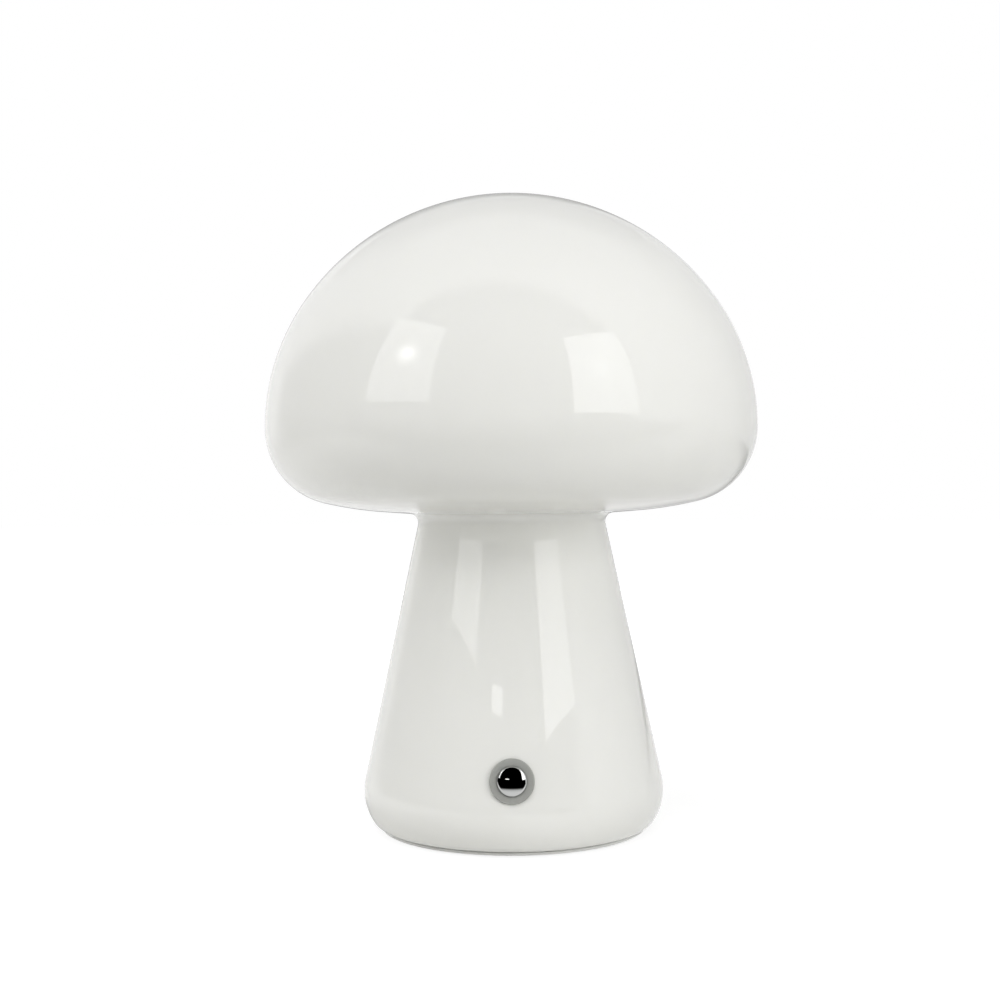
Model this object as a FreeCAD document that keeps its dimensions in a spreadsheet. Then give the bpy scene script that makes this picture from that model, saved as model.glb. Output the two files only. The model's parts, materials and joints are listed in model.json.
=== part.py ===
import FreeCAD, Part
import math
import os
import re
import Sketcher

# Mushroom table lamp: one blown opal glass body, lit from a core that plugs into its mouth.
# Lengths are in millimetres and angles in degrees. The origin is the middle of the foot, Z is the
# lamp's axis, and the button faces -Y. Headings run along the glass from the crown: 0 points
# outwards, 90 down and 180 back to the axis.

SIZES = {
    # glass, on its outer face
    "overall_height": 200.0,
    "cap_diameter": 155.0,
    "crown_angle": 56.5,
    "shoulder_radius": 68.9,
    "rim_radius": 24.0,
    "rim_turn": 76.8,
    "underside_radius": 122.5,
    "underside_slope": 4.2,
    "neck_fillet": 2.8,
    "stem_flare": 12.1,
    "foot_diameter": 94.8,
    "foot_round_radius": 16.7,
    "foot_round_drop": 32.9,
    "lip_radius": 4.15,
    "lip_drop": 72.9,
    "mouth_height": 1.8,
    "glass_wall": 2.6,
    # clearances
    "fit_gap": 0.1,
    "running_gap": 0.05,
    "wall_gap": 0.3,
    # foot, plate and gasket
    "pad_margin": 5.1,
    "pad_proud": 0.6,
    "pad_recess": 0.7,
    "plate_gap": 0.6,
    "plate_edge_round": 0.3,
    "brim_reach": 0.2,
    "plate_rim_height": 1.6,
    "plate_crest": 1.3,
    "gasket_height": 6.5,
    "gasket_wall": 4.1,
    # tub, ballast and board
    "tub_wall": 1.8,
    "tub_floor": 2.4,
    "tub_depth": 6.7,
    "post_radius": 3.2,
    "post_margin": 3.0,
    "ballast_height": 4.3,
    "board_height": 4.7,
    "board_thickness": 1.5,
    "chip_width": 6.0,
    "chip_height": 1.3,
    "coil_width": 7.0,
    "coil_height": 3.4,
    "capacitor_radius": 2.4,
    "capacitor_height": 3.6,
    "connector_width": 6.0,
    "connector_depth": 4.0,
    "connector_height": 3.0,
    "connector_reach": 5.0,
    # screws
    "screw_radius": 1.2,
    "screw_length": 5.0,
    "screw_head_radius": 2.2,
    "screw_head_height": 1.2,
    "small_screw_radius": 0.9,
    "small_screw_length": 5.6,
    "small_screw_head_radius": 1.7,
    "small_screw_head_height": 1.0,
    # column and cell
    "column_wall": 2.9,
    "column_flange_radius": 17.5,
    "column_floor": 4.0,
    "column_screw_circle": 14.8,
    "groove_depth": 1.6,
    "groove_width": 5.0,
    "cell_radius": 9.2,
    "cell_length": 65.0,
    "cell_round": 0.8,
    "cell_button_radius": 3.0,
    "cell_button_height": 1.0,
    "contact_lift": 2.6,
    "contact_sheet": 0.3,
    "contact_width": 4.0,
    "contact_tab": 1.5,
    "leaf_margin": 2.0,
    "leaf_crest": 1.5,
    "leaf_end": 4.0,
    "cell_cap_height": 6.0,
    # light source
    "light_height": 104.0,
    "sleeve_height": 8.0,
    "sleeve_wall": 1.8,
    "carrier_radius": 21.5,
    "carrier_thickness": 3.0,
    "sink_radius": 18.6,
    "sink_thickness": 2.0,
    "led_board_radius": 18.0,
    "led_board_thickness": 1.6,
    "led_circle": 6.6,
    "led_width": 2.8,
    "led_length": 3.5,
    "led_thickness": 0.8,
    "led_screw_circle": 15.2,
    "diffuser_wall": 1.5,
    "diffuser_side": 9.0,
    "diffuser_crown": 38.0,
    # button and charging inlet, along their own axis from the outer face of the glass
    "inlet_height": 22.9,
    "flange_radius": 6.55,
    "flange_proud": 0.9,
    "flange_sink": 0.8,
    "flange_round": 0.4,
    "barrel_radius": 5.4,
    "barrel_length": 9.0,
    "washer_radius": 7.8,
    "washer_reach": 1.4,
    "nut_radius": 7.9,
    "nut_height": 2.4,
    "button_radius": 4.35,
    "button_crown": 12.5,
    "button_round": 0.8,
    "button_side": 0.3,
    "button_skirt": 2.5,
    "skirt_wall": 0.8,
    "button_gap": 0.2,
    "button_travel": 1.0,
    "button_stem_radius": 1.5,
    "pocket_depth": 5.0,
    "spring_wire": 0.4,
    "spring_radius": 2.5,
    "spring_turns": 4.0,
    "clip_radius": 3.0,
    "clip_thickness": 0.5,
    "clip_groove": 0.4,
    "plunger_radius": 1.2,
    "plunger_reach": 2.0,
    "switch_width": 6.0,
    "switch_height": 3.0,
    "housing_wall": 0.9,
    "housing_floor": 1.0,
    "terminal_radius": 0.4,
    "terminal_spread": 1.6,
    "socket_width": 8.94,
    "socket_height": 3.26,
    "socket_wall": 0.3,
    "socket_depth": 7.0,
    "tongue_width": 6.7,
    "tongue_height": 0.7,
    "tongue_setback": 0.5,
    "port_block_height": 2.8,
    "port_board_thickness": 1.0,
    # leads
    "lead_radius": 0.6,
}

# Sizes worked out from the ones above. A centre is given by its distance out from the axis and up.
WORKED = {
    "cap_radius": "cap_diameter / 2",
    "crown_radius": "(cap_radius - shoulder_radius * (1 - sin(crown_angle))) / sin(crown_angle)",
    "crown_out": "0",
    "crown_up": "overall_height - crown_radius",
    "shoulder_out": "(crown_radius - shoulder_radius) * sin(crown_angle)",
    "shoulder_up": "crown_up + (crown_radius - shoulder_radius) * cos(crown_angle)",
    "rim_out": "cap_radius - rim_radius",
    "rim_up": "shoulder_up",
    "underside_out": "rim_out - (underside_radius - rim_radius) * cos(rim_turn)",
    "underside_up": "rim_up + (underside_radius - rim_radius) * sin(rim_turn)",
    "lip_up": "mouth_height + lip_radius * sin(lip_drop)",
    "foot_up": "lip_up + (foot_round_radius - lip_radius) * sin(foot_round_drop)",
    "foot_out": "foot_diameter / 2 - foot_round_radius",
    "lip_out": "foot_out + (foot_round_radius - lip_radius) * cos(foot_round_drop)",
    # the neck fillet touches the underside and the stem, each at the fillet's radius from its centre
    "underside_reach": "underside_out * sin(underside_slope) - underside_up * cos(underside_slope)"
                       " + underside_radius + neck_fillet",
    "stem_reach": "foot_out * cos(stem_flare) + foot_up * sin(stem_flare)"
                  " + foot_round_radius + neck_fillet",
    "neck_out": "(underside_reach * sin(stem_flare) + stem_reach * cos(underside_slope))"
                " / cos(stem_flare - underside_slope)",
    "neck_up": "(stem_reach * sin(underside_slope) - underside_reach * cos(stem_flare))"
               " / cos(stem_flare - underside_slope)",
    "mouth_radius": "lip_out + (lip_radius - glass_wall) * cos(lip_drop)",
    "tub_radius": "mouth_radius - gasket_wall - fit_gap",
    "plate_radius": "mouth_radius - plate_gap",
    "brim_radius": "mouth_radius + brim_reach",
    "brim_top": "mouth_height - wall_gap",
    "pad_radius": "plate_radius - pad_margin",
    "plate_top": "pad_proud + plate_rim_height",
    "seat_top": "plate_top + plate_crest",
    "floor_top": "seat_top + tub_floor",
    "tub_top": "floor_top + tub_depth",
    "tub_bore": "tub_radius - tub_wall",
    "post_circle": "tub_bore - post_radius - post_margin",
    "board_bottom": "floor_top + board_height",
    "board_top": "board_bottom + board_thickness",
    "cell_bore": "cell_radius + wall_gap",
    "column_radius": "cell_bore + column_wall",
    "board_bore": "column_radius + 2 * wall_gap",
    "groove_bottom": "column_radius - groove_depth",
    "parts_circle": "(column_flange_radius + tub_bore) / 2",
    "tab_end": "board_bore + contact_tab",
    "connector_out": "board_bore + connector_reach",
    "cell_floor": "floor_top + column_floor",
    "cell_bottom": "cell_floor + contact_lift",
    "cell_top": "cell_bottom + cell_length + cell_button_height",
    "cap_seat": "cell_top + contact_sheet",
    "lead_out": "groove_bottom + lead_radius + fit_gap",
    "carrier_top": "light_height + carrier_thickness",
    "sink_top": "carrier_top + sink_thickness",
    "led_board_top": "sink_top + led_board_thickness",
    "inlet_out": "foot_out + (foot_round_radius - (inlet_height - foot_up) * sin(stem_flare))"
                 " / cos(stem_flare)",
    "washer_end": "glass_wall + washer_reach",
    "nut_end": "washer_end + fit_gap + nut_height",
    "pin_end": "barrel_length + clip_thickness + button_travel",
    "switch_top": "pin_end + plunger_reach",
    "switch_end": "switch_top + switch_height",
    "housing_end": "switch_end + housing_floor",
    "housing_bore": "barrel_radius + running_gap",
    "pocket_radius": "button_radius + button_gap",
    # the button's crown is tangent to the rounding of its edge
    "round_out": "button_radius - button_round",
    "round_up": "flange_proud + button_side",
    "crown_drop": "sqrt((button_crown - button_round) ^ 2 - round_out ^ 2)",
    "crown_share": "button_crown / (button_crown - button_round)",
}

document = FreeCAD.newDocument("mushroom_table_lamp")
sheet = document.addObject("Spreadsheet::Sheet", "sizes")


def fill_sheet():
    """Writes the driving sizes as plain numbers, and the sizes worked out from them as formulas."""
    entries = [(name, str(number)) for name, number in SIZES.items()]
    entries += [(name, "=" + formula) for name, formula in WORKED.items()]
    for row, (name, content) in enumerate(entries, start=1):
        sheet.set("A%d" % row, name)
        sheet.set("B%d" % row, content)
        sheet.setAlias("B%d" % row, name)
    document.recompute()


def bind(formula):
    """The formula as an object reads it, with each size's name pointing into the sheet."""
    def point(match):
        word = match.group()
        return "sizes." + word if word in SIZES or word in WORKED else word
    return re.sub("[a-z_]+", point, str(formula))


def value(formula):
    """What the formula comes to with the sheet's present sizes."""
    return float(sheet.evalExpression(bind(formula)))


def new_body(name):
    """An empty body that may end up as several separate solids, such as a set of screws."""
    body = document.addObject("PartDesign::Body", name)
    body.Label = name
    body.AllowCompound = True
    return body


def new_sketch(body, name, plane, lift):
    """A sketch on one of the body's own origin planes, moved along the plane's normal by lift."""
    sketch = body.newObject("Sketcher::SketchObject", name)
    support = [plane_object for plane_object in body.Origin.OriginFeatures
               if plane_object.Role == plane][0]
    sketch.AttachmentSupport = [(support, "")]
    sketch.MapMode = "FlatFace"
    sketch.setExpression("AttachmentOffset.Base.z", bind(lift))
    return sketch


def pin_down(sketch, kind, where, formula):
    """Adds one driven dimension to a sketch and binds it to the sheet."""
    index = sketch.addConstraint(Sketcher.Constraint(kind, *where, value(formula)))
    sketch.setExpression("Constraints[%d]" % index, bind(formula))


def draw_outline(sketch, points):
    """Draws a closed outline, counter-clockwise, through (across, up) formulas. A point may also
    hold "out" or "in" and a radius: the arc to the next point, which swells or hollows the shape."""
    places = [FreeCAD.Vector(value(point[0]), value(point[1]), 0) for point in points]
    starts = []
    for number, point in enumerate(points):
        begin = places[number]
        end = places[(number + 1) % len(points)]
        if len(point) == 2:
            edge = sketch.addGeometry(Part.LineSegment(begin, end))
            starts.append((edge, 1, 2))
            continue
        if point[2] == "in":
            begin, end = end, begin
        chord = end - begin
        radius = value(point[3])
        sagitta = radius - math.sqrt(radius ** 2 - (chord.Length / 2) ** 2)
        bulge = FreeCAD.Vector(chord.y, -chord.x, 0).normalize() * sagitta
        edge = sketch.addGeometry(Part.Arc(begin, begin + chord / 2 + bulge, end))
        starts.append((edge, 1, 2) if point[2] == "out" else (edge, 2, 1))
    for number, point in enumerate(points):
        edge, first, last = starts[number]
        following, following_first, following_last = starts[(number + 1) % len(points)]
        sketch.addConstraint(Sketcher.Constraint("Coincident", edge, last, following, following_first))
        pin_down(sketch, "DistanceX", (-1, 1, edge, first), point[0])
        pin_down(sketch, "DistanceY", (-1, 1, edge, first), point[1])
        if len(point) == 4:
            pin_down(sketch, "Radius", (edge,), point[3])


def draw_circles(sketch, spots, radius):
    """Draws a circle of one radius at each (across, up) formula."""
    for across, up in spots:
        centre = FreeCAD.Vector(value(across), value(up), 0)
        circle = sketch.addGeometry(Part.Circle(centre, FreeCAD.Vector(0, 0, 1), value(radius)))
        pin_down(sketch, "Radius", (circle,), radius)
        pin_down(sketch, "DistanceX", (-1, 1, circle, 3), across)
        pin_down(sketch, "DistanceY", (-1, 1, circle, 3), up)


def box_outline(left, right, low, high):
    return [(left, low), (right, low), (right, high), (left, high)]


def middle_outline(across, up, half_width, half_height):
    """A box outline about a middle."""
    return box_outline("%s - %s" % (across, half_width), "%s + %s" % (across, half_width),
                       "%s - %s" % (up, half_height), "%s + %s" % (up, half_height))


def circle_spots(count, circle, first_angle=0):
    """Places evenly spaced on a circle round the axis."""
    angles = [first_angle + 360.0 * number / count for number in range(count)]
    return [("%s * cos(%g)" % (circle, angle), "%s * sin(%g)" % (circle, angle)) for angle in angles]


def turn(body, points):
    """Turns an outline of (out from the axis, up) formulas round the body's Z axis."""
    sketch = new_sketch(body, body.Name + "_profile", "XZ_Plane", "0")
    draw_outline(sketch, points)
    revolution = body.newObject("PartDesign::Revolution", body.Name + "_turned")
    revolution.Profile = sketch
    revolution.ReferenceAxis = (sketch, ["V_Axis"])
    revolution.Angle = 360
    return revolution


def turned(name, points):
    body = new_body(name)
    turn(body, points)
    return body


def raise_sketch(body, sketch, height, both_ways=False):
    pad = body.newObject("PartDesign::Pad", sketch.Name + "_pad")
    pad.Profile = sketch
    pad.SideType = "Symmetric" if both_ways else "One side"
    pad.setExpression("Length", bind(height))
    return pad


def cut_sketch(body, sketch, depth, upwards=True):
    """Cuts the sketch's shape out of the body, along or against the sketch's normal."""
    document.recompute()
    before = body.Shape.Volume
    pocket = body.newObject("PartDesign::Pocket", sketch.Name + "_cut")
    pocket.Profile = sketch
    pocket.Reversed = upwards
    pocket.setExpression("Length", bind(depth))
    document.recompute()
    if body.Shape.Volume >= before:
        raise RuntimeError("nothing is cut by " + pocket.Name)
    return pocket


def drill(body, name, spots, radius, bottom, depth):
    """Round holes from the height bottom upwards."""
    sketch = new_sketch(body, body.Name + "_" + name, "XY_Plane", bottom)
    draw_circles(sketch, spots, radius)
    return cut_sketch(body, sketch, depth)


def repeat_round(body, feature, count):
    """Repeats a feature evenly round the body's Z axis."""
    pattern = body.newObject("PartDesign::PolarPattern", body.Name + "_round")
    pattern.Originals = [feature]
    axis = [line for line in body.Origin.OriginFeatures if line.Role == "Z_Axis"][0]
    pattern.Axis = (axis, [""])
    pattern.Angle = 360
    pattern.Occurrences = count
    body.Tip = pattern
    return pattern


def stand_in_wall(thing, side):
    """Puts a piece that is drawn along its own Z axis into the stem: side is -1 for the front and
    1 for the back. Its Z axis leaves the glass square to the outer face."""
    thing.Placement = FreeCAD.Placement(
        FreeCAD.Vector(0, 1, 1), FreeCAD.Rotation(FreeCAD.Vector(-side, 0, 0), 45))
    thing.setExpression("Placement.Base.y", bind("%d * inlet_out" % side))
    thing.setExpression("Placement.Base.z", bind("inlet_height"))
    thing.setExpression("Placement.Rotation.Angle", bind("90 - stem_flare"))


def on_arc(centre, radius, heading):
    """The point of an arc where the glass runs along a heading."""
    return ("%s_out + (%s) * sin(%s)" % (centre, radius, heading),
            "%s_up + (%s) * cos(%s)" % (centre, radius, heading))


def glass_face(depth):
    """The outline of the glass from the mouth to the crown, at a depth under its outer face, as
    (point, the way it curves to the next point, radius)."""
    lip = "lip_radius - " + depth
    foot = "foot_round_radius - " + depth
    neck = "-neck_fillet - " + depth
    underside = "underside_radius - " + depth
    rim = "rim_radius - " + depth
    crown = "crown_radius - " + depth
    return [
        (on_arc("lip", lip, "90 + lip_drop"), "out", lip),
        (on_arc("lip", lip, "90 + foot_round_drop"), "out", foot),
        (on_arc("foot", foot, "90 - stem_flare"), None, None),
        (on_arc("neck", neck, "90 - stem_flare"), "in", "neck_fillet + " + depth),
        (on_arc("neck", neck, "180 - underside_slope"), None, None),
        (on_arc("underside", underside, "180 - underside_slope"), "out", underside),
        (on_arc("rim", rim, "90 + rim_turn"), "out", rim),
        (on_arc("rim", rim, "90"), "out", "shoulder_radius - " + depth),
        (on_arc("crown", crown, "crown_angle"), "out", crown),
        (("0", "overall_height - " + depth), None, None),
    ]


def as_outline(face):
    return [point if way is None else point + (way, radius) for point, way, radius in face]


def reversed_face(face):
    """The same outline walked the other way, where what swelled now hollows."""
    flip = {"out": "in", "in": "out", None: None}
    ways = [(flip[way], radius) for point, way, radius in face[:-1]][::-1] + [(None, None)]
    points = [point for point, way, radius in face][::-1]
    return [(point,) + way for point, way in zip(points, ways)]


def inlet_hole(body, name, side):
    """A round hole through the stem, square to its outer face."""
    start = "glass_wall"
    sketch = new_sketch(body, name, "XY_Plane", "0")
    sketch.AttachmentOffset = FreeCAD.Placement(
        FreeCAD.Vector(0, 1, 1), FreeCAD.Rotation(FreeCAD.Vector(-side, 0, 0), 45))
    sketch.setExpression("AttachmentOffset.Base.y",
                         bind("%d * (inlet_out + %s * cos(stem_flare))" % (side, start)))
    sketch.setExpression("AttachmentOffset.Base.z", bind("inlet_height + %s * sin(stem_flare)" % start))
    sketch.setExpression("AttachmentOffset.Rotation.Angle", bind("90 - stem_flare"))
    draw_circles(sketch, [("0", "0")], "barrel_radius + fit_gap")
    return cut_sketch(body, sketch, start + " + glass_wall + foot_round_radius / 4", upwards=False)


def make_glass_body():
    body = new_body("glass_body")
    turn(body, as_outline(glass_face("0")) + as_outline(reversed_face(glass_face("glass_wall"))))
    inlet_hole(body, "button_hole", -1)
    inlet_hole(body, "port_hole", 1)
    return body


def make_foot_pad():
    top = "pad_proud + pad_recess"
    return turned("foot_pad", box_outline("pad_radius / 3", "pad_radius", "0", top))


def make_base_plate():
    """The plate stands in the mouth of the glass, with a brim that shows under the lip."""
    recess = "pad_proud + pad_recess"
    body = turned("base_plate", [
        ("0", recess),
        ("pad_radius + fit_gap", recess),
        ("pad_radius + fit_gap", "pad_proud"),
        ("brim_radius - plate_edge_round", "pad_proud", "out", "plate_edge_round"),
        ("brim_radius", "pad_proud + plate_edge_round"),
        ("brim_radius", "brim_top"),
        ("plate_radius", "brim_top"),
        ("plate_radius", "plate_top"),
        ("tub_radius", "plate_top"),
        ("tub_radius", "seat_top"),
        ("0", "seat_top")])
    spots = circle_spots(4, "post_circle", 45)
    drill(body, "screw_holes", spots, "screw_radius + fit_gap", recess, "seat_top")
    drill(body, "head_pockets", spots, "screw_head_radius + fit_gap", recess, "screw_head_height")
    return body


def make_mouth_gasket():
    """The silicone sleeve that fills the mouth: its taper carries the lip of the glass, and its bead
    stands over the lip inside."""
    bead = "lip_radius - glass_wall - fit_gap"
    bead_low = on_arc("lip", bead, "90 + lip_drop")
    bead_high = on_arc("lip", bead, "90 + foot_round_drop")
    taper_foot = ("lip_out - (plate_top - lip_up + fit_gap * cos(lip_drop)) / tan(lip_drop)"
                  " - fit_gap * sin(lip_drop)")
    gasket_top = "plate_top + gasket_height"
    return turned("mouth_gasket", [
        ("tub_radius + fit_gap", "plate_top"),
        (taper_foot, "plate_top"),
        (bead_low[0] + " - fit_gap * sin(lip_drop)", bead_low[1] + " - fit_gap * cos(lip_drop)",
         "out", "lip_radius - glass_wall"),
        bead_high,
        (bead_high[0], gasket_top),
        ("tub_radius + fit_gap", gasket_top)])


def make_base_tub():
    body = turned("base_tub", [
        ("0", "seat_top"),
        ("tub_radius", "seat_top"),
        ("tub_radius", "tub_top"),
        ("tub_bore", "tub_top"),
        ("tub_bore", "floor_top"),
        ("0", "floor_top")])
    plate_spots = circle_spots(4, "post_circle", 45)
    board_spots = circle_spots(2, "post_circle")
    column_spots = circle_spots(3, "column_screw_circle", 90)
    posts = new_sketch(body, "tub_posts", "XY_Plane", "seat_top")
    draw_circles(posts, plate_spots + board_spots, "post_radius")
    raise_sketch(body, posts, "board_bottom - seat_top")
    drill(body, "plate_pilots", plate_spots, "screw_radius + running_gap", "seat_top", "screw_length")
    drill(body, "board_pilots", board_spots, "small_screw_radius + running_gap", "floor_top",
          "board_height + tub_floor")
    drill(body, "column_holes", column_spots, "screw_radius + fit_gap", "seat_top", "tub_floor")
    drill(body, "column_heads", column_spots, "screw_head_radius + fit_gap", "seat_top",
          "screw_head_height")
    return body


def make_ballast_weight():
    body = turned("ballast_weight", box_outline(
        "column_flange_radius + wall_gap", "tub_bore - wall_gap",
        "floor_top", "floor_top + ballast_height"))
    spots = circle_spots(4, "post_circle", 45) + circle_spots(2, "post_circle")
    drill(body, "post_holes", spots, "post_radius + wall_gap", "floor_top", "ballast_height")
    return body


def make_column():
    """The moulded tube on the tub's floor, with the cell's bore, and a groove down each side for the
    light source's leads and the cell's top strip."""
    body = turned("column", [
        ("0", "floor_top"),
        ("column_flange_radius", "floor_top"),
        ("column_flange_radius", "cell_floor"),
        ("column_radius", "cell_floor"),
        ("column_radius", "light_height"),
        ("cell_bore", "light_height"),
        ("cell_bore", "cell_floor"),
        ("0", "cell_floor")])
    half = "groove_width / 2"
    for side, name in ((1, "lead_groove"), (-1, "strip_groove")):
        edges = ["%d * groove_bottom" % side, "%d * (column_radius + groove_depth)" % side]
        left, right = edges[::side]
        groove = new_sketch(body, name, "XY_Plane", "cell_floor")
        draw_outline(groove, box_outline(left, right, "-" + half, half))
        cut_sketch(body, groove, "light_height - cell_floor")
    for name, low in (("bottom_window", "cell_floor"), ("top_window", "cell_top")):
        window = new_sketch(body, name, "XY_Plane", low)
        draw_outline(window, box_outline("-column_radius", "0", "-" + half, half))
        cut_sketch(body, window, "contact_sheet + fit_gap")
    drill(body, "pilots", circle_spots(3, "column_screw_circle", 90), "screw_radius + running_gap",
          "floor_top", "column_floor")
    return body


def make_screws(name, count, circle, first_angle, seat, size, upwards):
    """A ring of pan head screws. The head bears on the height seat, and the shank points up or down
    from there."""
    radius = size + "screw_radius"
    head_radius = size + "screw_head_radius"
    head = size + "screw_head_height"
    length = size + "screw_length"
    body = new_body(name)
    sketch = new_sketch(body, name + "_profile", "XZ_Plane", "0")
    centre = circle
    if upwards:
        levels = (seat + " - " + head, seat, seat + " + " + length)
        points = [(centre, levels[0]), (centre + " + " + head_radius, levels[0]),
                  (centre + " + " + head_radius, levels[1]), (centre + " + " + radius, levels[1]),
                  (centre + " + " + radius, levels[2]), (centre, levels[2])]
    else:
        levels = (seat + " - " + length, seat, seat + " + " + head)
        points = [(centre, levels[0]), (centre + " + " + radius, levels[0]),
                  (centre + " + " + radius, levels[1]), (centre + " + " + head_radius, levels[1]),
                  (centre + " + " + head_radius, levels[2]), (centre, levels[2])]
    draw_outline(sketch, points)
    axis = sketch.addGeometry(Part.LineSegment(
        FreeCAD.Vector(value(centre), 0, 0), FreeCAD.Vector(value(centre), 1, 0)), True)
    pin_down(sketch, "DistanceX", (-1, 1, axis, 1), centre)
    pin_down(sketch, "DistanceY", (-1, 1, axis, 1), "0")
    sketch.addConstraint(Sketcher.Constraint("Vertical", axis))
    sketch.addConstraint(Sketcher.Constraint("DistanceY", axis, 1, axis, 2, 1.0))
    revolution = body.newObject("PartDesign::Revolution", name + "_turned")
    revolution.Profile = sketch
    revolution.ReferenceAxis = (sketch, ["Axis0"])
    revolution.Angle = 360
    document.recompute()
    repeat_round(body, revolution, count)
    body.Placement.Rotation = FreeCAD.Rotation(FreeCAD.Vector(0, 0, 1), first_angle)
    return body


def make_battery_cell():
    return turned("battery_cell", [
        ("0", "cell_bottom"),
        ("cell_radius - cell_round", "cell_bottom", "out", "cell_round"),
        ("cell_radius", "cell_bottom + cell_round"),
        ("cell_radius", "cell_bottom + cell_length - cell_round", "out", "cell_round"),
        ("cell_radius - cell_round", "cell_bottom + cell_length"),
        ("cell_button_radius", "cell_bottom + cell_length"),
        ("cell_button_radius", "cell_top"),
        ("0", "cell_top")])


def make_strip(name, points):
    """A bent metal strip: its edge-on outline in the XZ plane, as wide as the contacts are."""
    body = new_body(name)
    sketch = new_sketch(body, name + "_edge", "XZ_Plane", "0")
    draw_outline(sketch, points)
    raise_sketch(body, sketch, "contact_width", both_ways=True)
    return body


def make_bottom_contact():
    """A leaf that springs up against the bottom of the cell, with a tab out to the board."""
    bend = "cell_radius - leaf_margin"
    low = "cell_floor"
    return make_strip("bottom_contact", [
        ("-tab_end", low),
        (bend, low),
        (bend, low + " + 3 * contact_sheet"),
        ("leaf_crest", "cell_bottom"),
        ("-leaf_crest", "cell_bottom"),
        ("-leaf_end", "cell_bottom - 3 * contact_sheet"),
        ("-leaf_end", "cell_bottom - 4 * contact_sheet"),
        ("-leaf_crest", "cell_bottom - contact_sheet"),
        ("leaf_crest", "cell_bottom - contact_sheet"),
        (bend + " - contact_sheet", low + " + 2.4 * contact_sheet"),
        (bend + " - contact_sheet", low + " + contact_sheet"),
        ("contact_sheet - tab_end", low + " + contact_sheet"),
        ("contact_sheet - tab_end", "board_bottom"),
        ("-tab_end", "board_bottom")])


def make_top_contact():
    """A strip that lies on the cell's button, leaves through the window and runs down the groove to
    the top of the board."""
    inner = "-(groove_bottom + fit_gap)"
    outer = inner + " - contact_sheet"
    return make_strip("top_contact", [
        ("-tab_end", "board_top"),
        (inner, "board_top"),
        (inner, "cell_top"),
        ("cell_button_radius", "cell_top"),
        ("cell_button_radius", "cap_seat"),
        (outer, "cap_seat"),
        (outer, "board_top + contact_sheet"),
        ("-tab_end", "board_top + contact_sheet")])


def make_cell_cap():
    return turned("cell_cap", box_outline("0", "cell_bore - fit_gap", "cap_seat",
                                          "cap_seat + cell_cap_height"))


def light_stack_holes(body, bottom, thickness, screw_hole):
    """The screw holes and the lead hole that the plates of the light source share."""
    drill(body, "screw_holes", circle_spots(3, "led_screw_circle", 90), screw_hole, bottom, thickness)
    drill(body, "lead_hole", [("lead_out", "0")], "groove_width / 2", bottom, thickness)


def make_led_carrier():
    """The collar over the top of the column, with the flange that carries the light source."""
    bore = "column_radius + fit_gap"
    sleeve = "column_radius + sleeve_wall"
    low = "light_height - sleeve_height"
    body = turned("led_carrier", [
        (bore, low),
        (sleeve, low),
        (sleeve, "light_height"),
        ("carrier_radius", "light_height"),
        ("carrier_radius", "carrier_top"),
        ("cell_radius / 2", "carrier_top"),
        ("cell_radius / 2", "light_height"),
        (bore, "light_height")])
    light_stack_holes(body, "light_height", "carrier_thickness", "small_screw_radius + running_gap")
    return body


def make_heat_sink():
    body = turned("heat_sink", box_outline("0", "sink_radius", "carrier_top", "sink_top"))
    light_stack_holes(body, "carrier_top", "sink_thickness", "small_screw_radius + fit_gap")
    return body


def make_led_board():
    body = turned("led_board", box_outline("0", "led_board_radius", "sink_top", "led_board_top"))
    drill(body, "screw_holes", circle_spots(3, "led_screw_circle", 90), "small_screw_radius + fit_gap",
          "sink_top", "led_board_thickness")
    return body


def make_led_chips():
    body = new_body("led_chips")
    sketch = new_sketch(body, "led_chip", "XY_Plane", "led_board_top")
    draw_outline(sketch, box_outline("led_circle - led_length / 2", "led_circle + led_length / 2",
                                     "-led_width / 2", "led_width / 2"))
    chip = raise_sketch(body, sketch, "led_thickness")
    document.recompute()
    repeat_round(body, chip, 8)
    return body


def make_diffuser():
    """The frosted dome over the light source: a straight side and a crown of one large radius."""
    outer = "carrier_radius"
    inner = "carrier_radius - diffuser_wall"
    side_top = "carrier_top + diffuser_side"
    crown_rise = "diffuser_crown - sqrt(diffuser_crown ^ 2 - carrier_radius ^ 2)"
    inner_crown = "diffuser_crown - diffuser_wall"
    inner_rise = "(%s) - sqrt((%s) ^ 2 - (%s) ^ 2)" % (inner_crown, inner_crown, inner)
    crown = side_top + " + " + crown_rise
    return turned("diffuser", [
        (inner, "carrier_top"),
        (outer, "carrier_top"),
        (outer, side_top, "out", "diffuser_crown"),
        ("0", crown),
        ("0", crown + " - diffuser_wall", "in", inner_crown),
        (inner, "%s - diffuser_wall - (%s)" % (crown, inner_rise))])


def make_main_board():
    body = turned("main_board", box_outline("board_bore", "tub_bore - wall_gap",
                                            "board_bottom", "board_top"))
    drill(body, "screw_holes", circle_spots(2, "post_circle"), "small_screw_radius + fit_gap",
          "board_bottom", "board_thickness")
    return body


def stand_on_board(body, name, points, height):
    sketch = new_sketch(body, name, "XY_Plane", "board_top")
    draw_outline(sketch, points)
    return raise_sketch(body, sketch, height)


def make_board_parts():
    """The charging chip, the driver chip, the coil and two capacitors, spread round the board."""
    body = new_body("board_parts")
    for name, angle, kind in (("charging_chip", 30, "chip"), ("driver_chip", 150, "chip"),
                              ("coil", 210, "coil")):
        half = kind + "_width / 2"
        across, up = circle_spots(1, "parts_circle", angle)[0]
        stand_on_board(body, name, middle_outline(across, up, half, half), kind + "_height")
    capacitors = new_sketch(body, "capacitors", "XY_Plane", "board_top")
    spots = circle_spots(1, "parts_circle", -35) + circle_spots(1, "parts_circle", -22)
    draw_circles(capacitors, spots, "capacitor_radius")
    raise_sketch(body, capacitors, "capacitor_height")
    return body


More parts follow.
